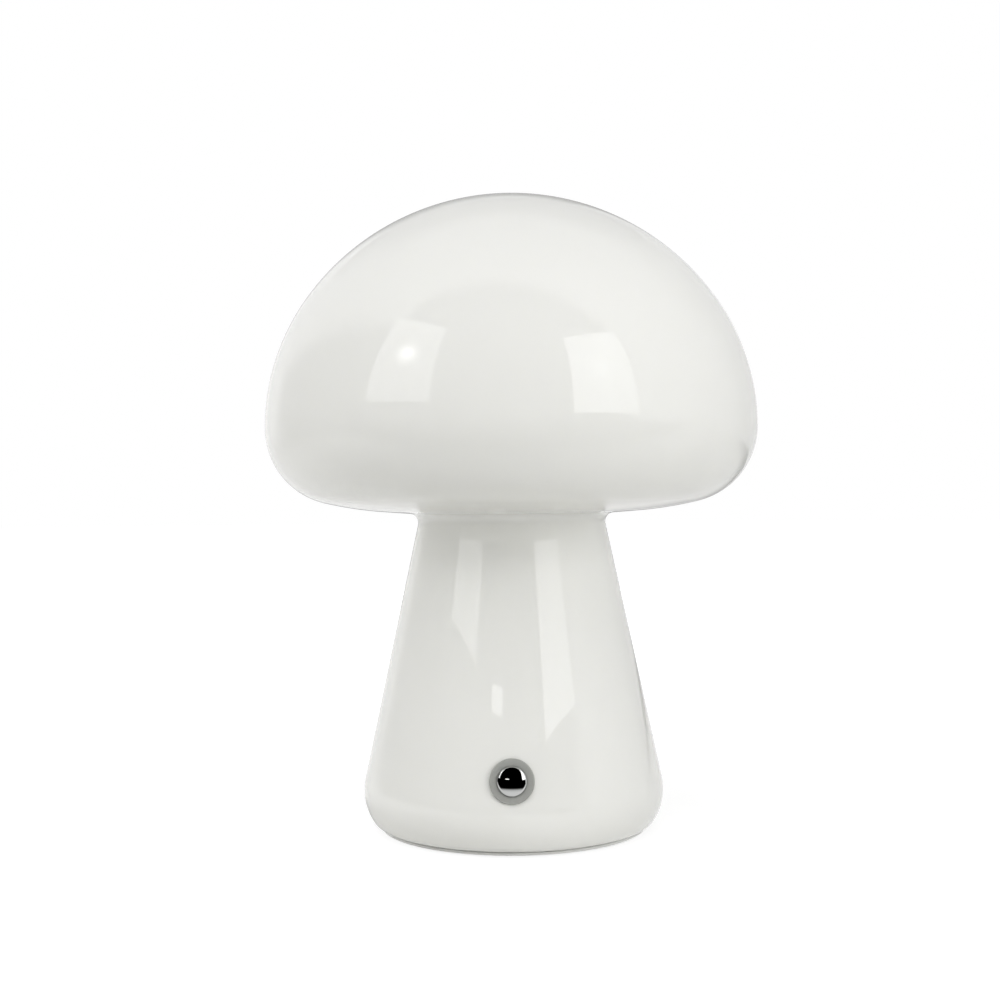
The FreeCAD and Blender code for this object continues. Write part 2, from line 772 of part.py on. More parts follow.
def make_board_connectors():
    """The connectors of the light source, the button and the charging inlet."""
    body = new_body("board_connectors")
    along = ("connector_depth / 2", "connector_width / 2")
    for name, spot, halves in (("led", ("connector_out", "0"), along),
                               ("switch", ("0", "-connector_out"), along[::-1]),
                               ("port", ("0", "connector_out"), along[::-1])):
        stand_on_board(body, name + "_connector", middle_outline(*spot, *halves), "connector_height")
    return body


def wall_cone(depth):
    """The cone of the stem's face at a depth under the outer face, from below the inlets to the neck."""
    low = "foot_up"
    high = "neck_up"
    cone = document.addObject("Part::Cone", "stem_cone")
    radius = "foot_out + (foot_round_radius - (%s) - (%s - foot_up) * sin(stem_flare)) / cos(stem_flare)"
    cone.setExpression("Radius1", bind(radius % (depth, low)))
    cone.setExpression("Radius2", bind(radius % (depth, high)))
    cone.setExpression("Height", bind("%s - %s" % (high, low)))
    cone.Placement.Base = FreeCAD.Vector(0, 0, 1)
    cone.setExpression("Placement.Base.z", bind(low))
    return cone


def combine(kind, name, base, tool):
    result = document.addObject("Part::" + kind, name)
    result.Label = name
    result.Base = base
    result.Tool = tool
    return result


def saddle(blank, name, side, depth, keep):
    """Fits a flange or washer to the round stem: cuts the stem's cone away from it, or keeps only
    what lies inside the cone. The cutter leaves the barrel alone."""
    stand_in_wall(blank, side)
    cone = wall_cone(depth)
    if keep:
        return combine("Common", name, blank, cone)
    collar = turned(name + "_collar", box_outline("barrel_radius + fit_gap", "2 * flange_radius",
                                                  "-glass_wall", "glass_wall"))
    stand_in_wall(collar, side)
    return combine("Cut", name, blank, combine("Common", name + "_cutter", collar, cone))


def barrel_outline(bore_points):
    """The outside of a threaded barrel with its flange on the glass, closed by its own bore."""
    return [
        ("barrel_radius", "-barrel_length"),
        ("barrel_radius", "-flange_sink"),
        ("flange_radius", "-flange_sink"),
        ("flange_radius", "flange_proud - flange_round", "out", "flange_round"),
        ("flange_radius - flange_round", "flange_proud")] + bore_points


def make_button_ring():
    guide = "button_stem_radius + running_gap"
    blank = turned("button_ring_blank", barrel_outline([
        ("pocket_radius", "flange_proud"),
        ("pocket_radius", "-pocket_depth"),
        (guide, "-pocket_depth"),
        (guide, "-barrel_length")]))
    return saddle(blank, "button_ring", -1, "-fit_gap", keep=False)


def make_port_body():
    blank = turned("port_body_blank", barrel_outline([("0", "flange_proud"), ("0", "-barrel_length")]))
    slot = new_sketch(blank, "port_slot", "XY_Plane", "-barrel_length")
    draw_outline(slot, slot_outline("socket_width + 2 * fit_gap", "socket_height + 2 * fit_gap"))
    cut_sketch(blank, slot, "barrel_length + flange_proud")
    return saddle(blank, "port_body", 1, "-fit_gap", keep=False)


def make_saddle_washer(name, side):
    blank = turned(name + "_blank", box_outline("barrel_radius + fit_gap", "washer_radius",
                                                "-washer_end", "0"))
    return saddle(blank, name, side, "glass_wall + fit_gap", keep=True)


def make_nut(name, side):
    body = new_body(name)
    sketch = new_sketch(body, name + "_hexagon", "XY_Plane", "-nut_end")
    draw_outline(sketch, circle_spots(6, "nut_radius"))
    raise_sketch(body, sketch, "nut_height")
    document.recompute()
    drill(body, "bore", [("0", "0")], "barrel_radius + running_gap", "-nut_end", "nut_height")
    stand_in_wall(body, side)
    return body


def make_button():
    """The dome with its rounded edge, its skirt round the spring, and the stem with the clip's
    groove."""
    edge = "flange_proud"
    recess = "-button_skirt + button_travel + flange_proud"
    groove = "button_stem_radius - clip_groove"
    groove_top = "-barrel_length"
    groove_bottom = "-barrel_length - clip_thickness - 2 * running_gap"
    body = turned("button", [
        ("0", "-pin_end"),
        ("button_stem_radius", "-pin_end"),
        ("button_stem_radius", groove_bottom),
        (groove, groove_bottom),
        (groove, groove_top),
        ("button_stem_radius", groove_top),
        ("button_stem_radius", recess),
        ("button_radius - skirt_wall", recess),
        ("button_radius - skirt_wall", edge + " - button_skirt"),
        ("button_radius", edge + " - button_skirt"),
        ("button_radius", "round_up", "out", "button_round"),
        ("round_out * crown_share", "round_up + crown_drop * (crown_share - 1)", "out", "button_crown"),
        ("0", "round_up - crown_drop + button_crown")])
    stand_in_wall(body, -1)
    return body


def make_button_clip():
    top = "-barrel_length - running_gap"
    body = turned("button_clip", box_outline("button_stem_radius - clip_groove + running_gap",
                                             "clip_radius", top + " - clip_thickness", top))
    stand_in_wall(body, -1)
    return body


def make_button_spring():
    """An open coil between the pocket's floor and the underside of the dome."""
    body = new_body("button_spring")
    sketch = new_sketch(body, "spring_wire_section", "XZ_Plane", "0")
    draw_circles(sketch, [("spring_radius", "-pocket_depth + spring_wire / 2 + running_gap")],
                 "spring_wire / 2")
    helix = body.newObject("PartDesign::AdditiveHelix", "spring_coil")
    helix.Profile = sketch
    helix.ReferenceAxis = (sketch, ["V_Axis"])
    helix.Mode = "height-turns-angle"
    room = "(pocket_depth - button_skirt + button_travel + flange_proud)"
    helix.setExpression("Height", bind(room + " - spring_wire - 2 * running_gap"))
    helix.setExpression("Turns", bind("spring_turns"))
    stand_in_wall(body, -1)
    return body


def make_switch_housing():
    """The cup on the back of the barrel that holds the switch."""
    outer = "housing_bore + housing_wall"
    top = "-nut_end - fit_gap"
    body = turned("switch_housing", [
        ("0", "-housing_end"),
        (outer, "-housing_end"),
        (outer, top),
        ("housing_bore", top),
        ("housing_bore", "-switch_end"),
        ("0", "-switch_end")])
    drill(body, "terminal_holes", terminal_spots(), "terminal_radius + fit_gap", "-housing_end",
          "housing_floor")
    stand_in_wall(body, -1)
    return body


def make_switch_body():
    half = "switch_width / 2"
    body = new_body("switch_body")
    sketch = new_sketch(body, "switch_block", "XY_Plane", "-switch_end")
    draw_outline(sketch, box_outline("-" + half, half, "-" + half, half))
    raise_sketch(body, sketch, "switch_height")
    document.recompute()
    drill(body, "plunger_hole", [("0", "0")], "plunger_radius + running_gap",
          "-switch_top - 2 * button_travel", "2 * button_travel")
    stand_in_wall(body, -1)
    return body


def make_switch_plunger():
    body = turned("switch_plunger", box_outline("0", "plunger_radius",
                                                "-switch_top - button_travel / 2", "-pin_end"))
    stand_in_wall(body, -1)
    return body


def terminal_spots():
    return [("-terminal_spread", "0"), ("terminal_spread", "0")]


def make_terminals(name, side, top):
    """Two pins out of the back of the switch or of the inlet's board."""
    body = new_body(name)
    sketch = new_sketch(body, name + "_pins", "XY_Plane", "-housing_end")
    draw_circles(sketch, terminal_spots(), "terminal_radius")
    raise_sketch(body, sketch, "housing_end - (%s)" % top)
    stand_in_wall(body, side)
    return body


def slot_outline(width, height):
    """An upright section of a charging socket: straight top and bottom, round ends."""
    flat = "((%s) - (%s)) / 2" % (width, height)
    half = "(%s) / 2" % height
    return [("-" + flat, "-" + half), (flat, "-" + half, "out", half),
            (flat + " + " + half, "0", "out", half), (flat, half),
            ("-" + flat, half, "out", half), ("-(%s) - %s" % (flat, half), "0", "out", half)]


def make_port_shell():
    body = new_body("port_shell")
    low = "flange_proud - socket_depth"
    outer = new_sketch(body, "shell_outside", "XY_Plane", low)
    draw_outline(outer, slot_outline("socket_width", "socket_height"))
    raise_sketch(body, outer, "socket_depth")
    document.recompute()
    inner = new_sketch(body, "shell_inside", "XY_Plane", low + " + socket_wall")
    draw_outline(inner, slot_outline("socket_width - 2 * socket_wall", "socket_height - 2 * socket_wall"))
    cut_sketch(body, inner, "socket_depth - socket_wall")
    stand_in_wall(body, 1)
    return body


def make_port_tongue():
    body = new_body("port_tongue")
    sketch = new_sketch(body, "tongue_section", "XY_Plane", "flange_proud - socket_depth + socket_wall")
    half = "tongue_width / 2"
    draw_outline(sketch, box_outline("-" + half, half, "-tongue_height / 2", "tongue_height / 2"))
    raise_sketch(body, sketch, "socket_depth - socket_wall - tongue_setback")
    stand_in_wall(body, 1)
    return body


def make_port_board():
    """The small board on the back of the inlet, and the block that joins it to the socket."""
    body = turned("port_board", box_outline("0", "barrel_radius",
                                            "-barrel_length - port_board_thickness", "-barrel_length"))
    block = new_sketch(body, "port_block", "XY_Plane", "-barrel_length")
    draw_outline(block, middle_outline("0", "0", "tongue_width / 2", "port_block_height / 2"))
    raise_sketch(body, block, "barrel_length + flange_proud - socket_depth")
    stand_in_wall(body, 1)
    return body


def lead_tube(route):
    """A lead along straight runs joined by arcs as large as the runs allow."""
    edges = []
    last = route[0]
    for before, corner, after in zip(route, route[1:], route[2:]):
        into = (corner - before).normalize()
        away = (after - corner).normalize()
        half_turn = into.getAngle(away) / 2
        cut_back = 0.45 * min((corner - before).Length, (after - corner).Length)
        first = corner - into * cut_back
        second = corner + away * cut_back
        radius = cut_back / math.tan(half_turn)
        centre_way = (away - into).normalize()
        middle = corner + centre_way * (radius / math.cos(half_turn) - radius)
        edges.append(Part.LineSegment(last, first).toShape())
        edges.append(Part.Arc(first, middle, second).toShape())
        last = second
    edges.append(Part.LineSegment(last, route[-1]).toShape())
    path = Part.Wire(edges)
    radius = value("lead_radius")
    section = Part.Wire(Part.Circle(route[0], route[1] - route[0], radius).toShape())
    tube = path.makePipeShell([section], True, True)
    expected = math.pi * radius ** 2 * path.Length
    print("lead of %.1f mm, volume %.4f of its section times its length"
          % (path.Length, tube.Volume / expected))
    return tube


def make_leads(name, routes):
    """A pair of leads. Their routes turn in two planes, so the tubes are swept here."""
    feature = document.addObject("Part::Feature", name)
    feature.Label = name
    feature.Shape = Part.makeCompound([lead_tube(route) for route in routes])
    return feature


def make_led_leads():
    routes = []
    for side in (-1, 1):
        across = side * value("lead_radius + fit_gap")
        level = value("board_top + connector_height / 2")
        routes.append([FreeCAD.Vector(value("connector_out - connector_depth / 2"), across, level),
                       FreeCAD.Vector(value("lead_out"), across, level),
                       FreeCAD.Vector(value("lead_out"), across, value("sink_top"))])
    return make_leads("led_leads", routes)


def make_wall_leads(name, side, start):
    """The leads from the back of the button or the inlet down to their connector on the board."""
    flare = value("stem_flare")
    lean = math.radians(flare)
    routes = []
    for hand in (-1, 1):
        across = hand * value("terminal_spread")
        depth = value(start)
        out = value("inlet_out") - depth * math.cos(lean)
        up = value("inlet_height") - depth * math.sin(lean)
        down_out = value("connector_out")
        corner_up = up - (out - down_out) * math.tan(lean)
        routes.append([FreeCAD.Vector(across, side * out, up),
                       FreeCAD.Vector(across, side * down_out, corner_up),
                       FreeCAD.Vector(across, side * down_out, value("board_top + connector_height"))])
    return make_leads(name, routes)


def build_pieces():
    """Every piece of the lamp, in the order that it goes together on the bench."""
    small = "small_"
    return [
        make_glass_body(),
        make_button_ring(), make_saddle_washer("button_washer", -1), make_nut("button_nut", -1),
        make_button_spring(), make_button(), make_button_clip(),
        make_switch_housing(), make_switch_body(), make_switch_plunger(),
        make_terminals("switch_terminals", -1, "switch_end"),
        make_port_body(), make_saddle_washer("port_washer", 1), make_nut("port_nut", 1),
        make_port_shell(), make_port_tongue(), make_port_board(),
        make_terminals("port_terminals", 1, "barrel_length + port_board_thickness"),
        make_base_tub(), make_ballast_weight(), make_column(),
        make_screws("column_screws", 3, "column_screw_circle", 90, "seat_top + screw_head_height",
                    "", upwards=True),
        make_bottom_contact(), make_battery_cell(), make_top_contact(), make_cell_cap(),
        make_main_board(), make_board_parts(), make_board_connectors(),
        make_screws("board_screws", 2, "post_circle", 0, "board_top", small, upwards=False),
        make_led_carrier(), make_heat_sink(), make_led_board(), make_led_chips(),
        make_screws("led_screws", 3, "led_screw_circle", 90, "led_board_top", small, upwards=False),
        make_diffuser(),
        make_led_leads(),
        make_wall_leads("switch_leads", -1, "housing_end"),
        make_wall_leads("port_leads", 1, "housing_end"),
        make_base_plate(),
        make_screws("base_screws", 4, "post_circle", 45,
                    "pad_proud + pad_recess + screw_head_height", "", upwards=True),
        make_foot_pad(), make_mouth_gasket(),
    ]


def check(pieces):
    """Stops if anything in the document failed to build."""
    for thing in document.Objects:
        if {"Invalid", "Error"} & set(thing.State):
            raise RuntimeError("%s is %s" % (thing.Name, thing.State))
    for piece in pieces:
        shape = piece.Shape
        if shape.isNull() or not shape.isValid() or not shape.Solids:
            raise RuntimeError(piece.Label + " has no sound solid")


def write(pieces):
    os.makedirs("parts", exist_ok=True)
    for piece in pieces:
        piece.Shape.exportStep("parts/%s.step" % piece.Label)
        print("%-18s %d solid, %9.1f mm3" % (piece.Label, len(piece.Shape.Solids), piece.Shape.Volume))


fill_sheet()
PIECES = build_pieces()
document.recompute()
check(PIECES)
write(PIECES)
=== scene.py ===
import json
import math

import bpy
from mathutils import Matrix, Vector

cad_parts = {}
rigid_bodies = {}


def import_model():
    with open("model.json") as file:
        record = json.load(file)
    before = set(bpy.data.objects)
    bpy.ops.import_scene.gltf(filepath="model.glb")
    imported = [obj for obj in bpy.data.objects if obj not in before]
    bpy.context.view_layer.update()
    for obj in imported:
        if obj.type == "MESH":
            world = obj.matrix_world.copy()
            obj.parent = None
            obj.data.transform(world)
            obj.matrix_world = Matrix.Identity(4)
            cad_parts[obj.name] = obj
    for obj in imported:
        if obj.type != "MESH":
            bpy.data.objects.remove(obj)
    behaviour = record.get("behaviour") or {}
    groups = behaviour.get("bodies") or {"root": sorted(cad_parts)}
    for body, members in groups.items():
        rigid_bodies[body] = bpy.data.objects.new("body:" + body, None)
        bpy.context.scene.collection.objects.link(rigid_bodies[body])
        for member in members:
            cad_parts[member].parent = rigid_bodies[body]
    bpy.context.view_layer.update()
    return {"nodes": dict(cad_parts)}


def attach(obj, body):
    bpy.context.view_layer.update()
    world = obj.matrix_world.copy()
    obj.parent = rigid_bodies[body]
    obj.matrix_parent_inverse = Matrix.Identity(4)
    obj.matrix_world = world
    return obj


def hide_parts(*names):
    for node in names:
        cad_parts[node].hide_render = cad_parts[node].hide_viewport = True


bl_info = {
    "name": "Mushroom Table Lamp",
    "version": (1, 0, 0),
    "blender": (4, 5, 0),
    "location": "View3D > Sidebar > Lamp",
    "description": "Models and dresses a one-piece opal glass table lamp round its CAD frame",
    "category": "Object",
}

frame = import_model()

MM = 0.001
# Turned pieces are round enough for a 77 mm radius to leave the true circle by 0.006 mm.
GLASS_TURNS = 256
SMALL_TURNS = 96
SMOOTH_ANGLE = math.radians(35)
MERGE_DISTANCE = 0.002 * MM
# Cuts across the stem's straight side outside, and half as many inside. It is the only straight
# move of the glass that is longer than LONG_MOVE.
STEM_CUTS = 44
LONG_MOVE = 20 * MM
# Room between a dressed piece and what it sits against.
CLEARANCE = 0.1 * MM
# How wide a lathe or a mould leaves an edge softened.
TURNED_EDGE = 0.06 * MM
MOULDED_EDGE = 0.12 * MM
PLATE_EDGE = 0.15 * MM
# How long the drill through the glass is, and how far under the table a drill starts.
DRILL_LENGTH = 12 * MM
DRILL_START = 5 * MM


# ---------------------------------------------------------------- colours and material nodes

def linear(code):
    """A six-digit sRGB hex colour as the linear red, green and blue that Blender works in."""
    parts = [int(code[place:place + 2], 16) / 255 for place in (0, 2, 4)]
    return tuple(part / 12.92 if part <= 0.04045 else ((part + 0.055) / 1.055) ** 2.4
                 for part in parts)


def rgba(code):
    """The same colour, opaque, as a colour socket takes it."""
    return linear(code) + (1.0,)


def add_node(tree, kind, values=(), links=(), **settings):
    """Adds a node with its settings, its input values and the links into it."""
    node = tree.nodes.new(kind)
    for name, setting in settings.items():
        setattr(node, name, setting)
    for socket, number in dict(values).items():
        node.inputs[socket].default_value = number
    for socket, source in dict(links).items():
        tree.links.new(source, node.inputs[socket])
    return node


def new_material(name):
    """An empty material with its output, and the tree to fill."""
    material = bpy.data.materials.new(name)
    material.use_nodes = True
    tree = material.node_tree
    tree.nodes.clear()
    return material, tree


def per_mm(size):
    """The texture scale that makes a pattern's cells about this many millimetres wide."""
    return 1 / (size * MM)


def surface(name, base, roughness, metallic=0.0, ior=1.5, grain=1.0, relief=0.01, shade=0.04,
            stretch=(1, 1, 1), gloss_change=0.05, **sockets):
    """A material whose colour, gloss and height vary with one soft noise: grain and relief are
    millimetres, shade the share by which the colour darkens in its hollows."""
    material, tree = new_material(name)
    place = add_node(tree, "ShaderNodeTexCoord")
    turned = add_node(tree, "ShaderNodeMapping", {"Scale": stretch},
                      {"Vector": place.outputs["Object"]})
    noise = add_node(tree, "ShaderNodeTexNoise", {"Scale": per_mm(grain), "Detail": 4.0},
                     {"Vector": turned.outputs["Vector"]})
    dark = tuple(part * (1 - shade) for part in base[:3]) + (1.0,)
    tint = add_node(tree, "ShaderNodeMix", {"A": dark, "B": base}, data_type="RGBA")
    tree.links.new(noise.outputs["Fac"], tint.inputs["Factor"])
    gloss = add_node(tree, "ShaderNodeMapRange",
                     {"To Min": max(roughness - gloss_change, 0.0),
                      "To Max": roughness + gloss_change},
                     {"Value": noise.outputs["Fac"]})
    bump = add_node(tree, "ShaderNodeBump", {"Strength": 1.0, "Distance": relief * MM},
                    {"Height": noise.outputs["Fac"]})
    shader = add_node(tree, "ShaderNodeBsdfPrincipled", {"Metallic": metallic},
                      {"Base Color": tint.outputs["Result"], "Roughness": gloss.outputs["Result"],
                       "Normal": bump.outputs["Normal"]})
    if not metallic:
        shader.inputs["IOR"].default_value = ior
    for socket, number in sockets.items():
        shader.inputs[socket.replace("_", " ")].default_value = number
    add_node(tree, "ShaderNodeOutputMaterial", (), {"Surface": shader.outputs["BSDF"]})
    return material


# ---------------------------------------------------------------- modelling

def set_mode(name):
    """Changes between EDIT and OBJECT mode."""
    bpy.ops.object.mode_set(mode=name)


def clear_selection():
    """Nothing selected and no edit mode, so that the next operator acts on its own piece alone."""
    if bpy.context.object and bpy.context.object.mode != "OBJECT":
        set_mode("OBJECT")
    bpy.ops.object.select_all(action="DESELECT")


def take_up(piece):
    """Makes a piece the only selected one and the active one."""
    clear_selection()
    piece.select_set(True)
    bpy.context.view_layer.objects.active = piece


def line(out, up, cuts=1):
    """A straight move to a place, in equal steps."""
    return ("line", (out, up), cuts)


def arc(centre, degrees, steps):
    """A turn about a centre, in degrees: positive goes from the top outwards and down."""
    return ("arc", centre, degrees, steps)


def trace_outline(name, start, moves):
    """Carries one vertex along a piece's outline in the XZ plane, as (out from the axis, up):
    straight moves extrude it and curved ones spin it about their centre."""
    clear_selection()
    bpy.ops.mesh.primitive_plane_add(size=MM, location=(start[0], 0, start[1]))
    piece = bpy.context.object
    piece.name = name
    piece.data.name = name
    bpy.ops.object.transform_apply()
    set_mode("EDIT")
    bpy.ops.mesh.select_all(action="SELECT")
    bpy.ops.mesh.merge(type="CENTER")
    here = Vector((start[0], 0, start[1]))
    for kind, place, count, *rest in moves:
        point = Vector((place[0], 0, place[1]))
        if kind == "line":
            step = (point - here) / count
            for _ in range(count):
                bpy.ops.mesh.extrude_region_move(TRANSFORM_OT_translate={"value": step})
            here = point
            continue
        turn = math.radians(count)
        bpy.ops.mesh.spin(steps=rest[0], angle=-turn, center=point, axis=(0, 1, 0))
        away = here - point
        here = point + Vector((away.x * math.cos(turn) + away.z * math.sin(turn), 0,
                               away.z * math.cos(turn) - away.x * math.sin(turn)))
    return piece


def turn_round(piece, steps):
    """Spins the traced outline round the Z axis and closes its seam and poles."""
    bpy.ops.mesh.select_all(action="SELECT")
    bpy.ops.mesh.remove_doubles(threshold=MERGE_DISTANCE)
    bpy.ops.mesh.spin(steps=steps, angle=math.tau, center=(0, 0, 0), axis=(0, 0, 1))
    bpy.ops.mesh.select_all(action="SELECT")
    bpy.ops.mesh.remove_doubles(threshold=MERGE_DISTANCE)
    bpy.ops.mesh.dissolve_degenerate(threshold=MERGE_DISTANCE)
    bpy.ops.mesh.normals_make_consistent(inside=False)
    set_mode("OBJECT")
    bpy.ops.object.shade_smooth_by_angle(angle=SMOOTH_ANGLE)
    return piece


def cut_with(piece, tool, operation="DIFFERENCE"):
    """Takes the tool's shape out of the piece, or keeps what both share, and removes the tool."""
    take_up(piece)
    cut = piece.modifiers.new("cut", "BOOLEAN")
    cut.operation = operation
    cut.solver = "EXACT"
    cut.object = tool
    bpy.ops.object.modifier_apply(modifier=cut.name)
    bpy.data.objects.remove(tool)


def soften(piece, width):
    """Rounds the sharp edges a little, as a mould or a cutter leaves them."""
    take_up(piece)
    edge = piece.modifiers.new("edge", "BEVEL")
    edge.width = width
    edge.segments = 2
    edge.limit_method = "ANGLE"
    edge.angle_limit = SMOOTH_ANGLE
    bpy.ops.object.modifier_apply(modifier=edge.name)


def into_wall(piece, side, shape):
    """Stands a piece that is modelled along Z into the stem, square to the glass: side is -1 for
    the front and 1 for the back."""
    take_up(piece)
    piece.rotation_euler = (-side * (math.pi / 2 - shape.stem_flare), 0, 0)
    piece.location = (0, side * stem_out(shape, shape.inlet_height), shape.inlet_height)
    bpy.ops.object.transform_apply()


def finish_piece(piece, body, material, slot, *nodes):
    """Smooths a finished piece, gives it its material, hangs it on the body that it rides on and
    hides the frame's pieces that it stands for.
    """
    take_up(piece)
    bpy.ops.object.shade_smooth_by_angle(angle=SMOOTH_ANGLE)
    piece.data.materials.clear()
    piece.data.materials.append(material)
    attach(piece, body)
    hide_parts(*nodes)


# ---------------------------------------------------------------- the glass's arcs

def glass_arcs(shape, depth):
    """The arcs of the glass from the mouth to the crown at a depth under its outer face, each as
    (centre, signed radius, heading at its start, heading at its end, steps). Headings are 0 at the
    top and 90 outwards; a negative radius curves the other way."""
    slope = math.degrees(shape.underside_slope)
    flare = math.degrees(shape.stem_flare)
    centres = glass_centres(shape)
    foot_turn = 90 + math.degrees(shape.foot_round_drop)
    lip_turn = 90 + math.degrees(shape.lip_drop)
    rim_turn = 90 + math.degrees(shape.rim_turn)
    crown_turn = math.degrees(shape.crown_angle)
    return [
        (centres["lip"], shape.lip_radius - depth, lip_turn, foot_turn, 8),
        (centres["foot"], shape.foot_round_radius - depth, foot_turn, 90 - flare, 14),
        (centres["neck"], -shape.neck_fillet - depth, 90 - flare, 180 - slope, 14),
        (centres["underside"], shape.underside_radius - depth, 180 - slope, rim_turn, 12),
        (centres["rim"], shape.rim_radius - depth, rim_turn, 90, 26),
        (centres["shoulder"], shape.shoulder_radius - depth, 90, crown_turn, 22),
        (centres["crown"], shape.crown_radius - depth, crown_turn, 0, 40),
    ]


def glass_centres(shape):
    """Where each arc of the glass has its centre, worked out from its sizes."""
    cap = shape.cap_diameter / 2
    sin, cos = math.sin, math.cos
    crown_up = shape.overall_height - shape.crown_radius
    offset = shape.crown_radius - shape.shoulder_radius
    shoulder = (offset * sin(shape.crown_angle), crown_up + offset * cos(shape.crown_angle))
    rim = (cap - shape.rim_radius, shoulder[1])
    offset = shape.underside_radius - shape.rim_radius
    underside = (rim[0] - offset * cos(shape.rim_turn), rim[1] + offset * sin(shape.rim_turn))
    offset = shape.foot_round_radius - shape.lip_radius
    lip_up = shape.mouth_height + shape.lip_radius * sin(shape.lip_drop)
    foot = (shape.foot_diameter / 2 - shape.foot_round_radius,
            lip_up + offset * sin(shape.foot_round_drop))
    lip = (foot[0] + offset * cos(shape.foot_round_drop), lip_up)
    slope, flare = shape.underside_slope, shape.stem_flare
    under_reach = (underside[0] * sin(slope) - underside[1] * cos(slope)
                   + shape.underside_radius + shape.neck_fillet)
    stem_reach = (foot[0] * cos(flare) + foot[1] * sin(flare)
                  + shape.foot_round_radius + shape.neck_fillet)
    spread = cos(flare - slope)
    neck = ((under_reach * sin(flare) + stem_reach * cos(slope)) / spread,
            (stem_reach * sin(slope) - under_reach * cos(flare)) / spread)
    return {"crown": (0.0, crown_up), "shoulder": shoulder, "rim": rim, "underside": underside,
            "neck": neck, "foot": foot, "lip": lip}


def arc_point(centre, radius, heading):
    """The point of an arc at a heading, in degrees."""
    turn = math.radians(heading)
    return centre[0] + radius * math.sin(turn), centre[1] + radius * math.cos(turn)


def stem_out(shape, height, clear=0.0):
    """How far from the axis the stem's face is at a height, or a surface that stands clear of
    it."""
    foot = glass_centres(shape)["foot"]
    rise = (height - foot[1]) * math.sin(shape.stem_flare)
    return foot[0] + (shape.foot_round_radius + clear - rise) / math.cos(shape.stem_flare)


def mouth_radius(shape):
    """The mouth of the glass at its narrowest."""
    return (glass_centres(shape)["lip"][0]
            + (shape.lip_radius - shape.glass_wall) * math.cos(shape.lip_drop))


def walk_arcs(arcs, line_cuts):
    """Moves along a run of arcs, with straight moves where two of them do not meet."""
    moves = []
    here = None
    for centre, radius, first, last, steps in arcs:
        start = arc_point(centre, radius, first)
        if here and math.dist(here, start) > MERGE_DISTANCE:
            cuts = line_cuts if math.dist(here, start) > LONG_MOVE else 1
            moves.append(line(*start, cuts))
        moves.append(arc(centre, last - first, steps))
        here = arc_point(centre, radius, last)
    return moves


# ---------------------------------------------------------------- sizes and finishes

def length(label, description, millimetres):
    """A length, given in millimetres."""
    return bpy.props.FloatProperty(name=label, description=description, default=millimetres * MM,
                                   unit="LENGTH")


def angle(label, description, degrees):
    """An angle, given in degrees."""
    return bpy.props.FloatProperty(name=label, description=description,
                                   default=math.radians(degrees), subtype="ANGLE")


def colour(label, description, code):
    """A colour, given as sRGB hex."""
    return bpy.props.FloatVectorProperty(name=label, description=description, size=4,
                                         subtype="COLOR", default=rgba(code), min=0, max=1)


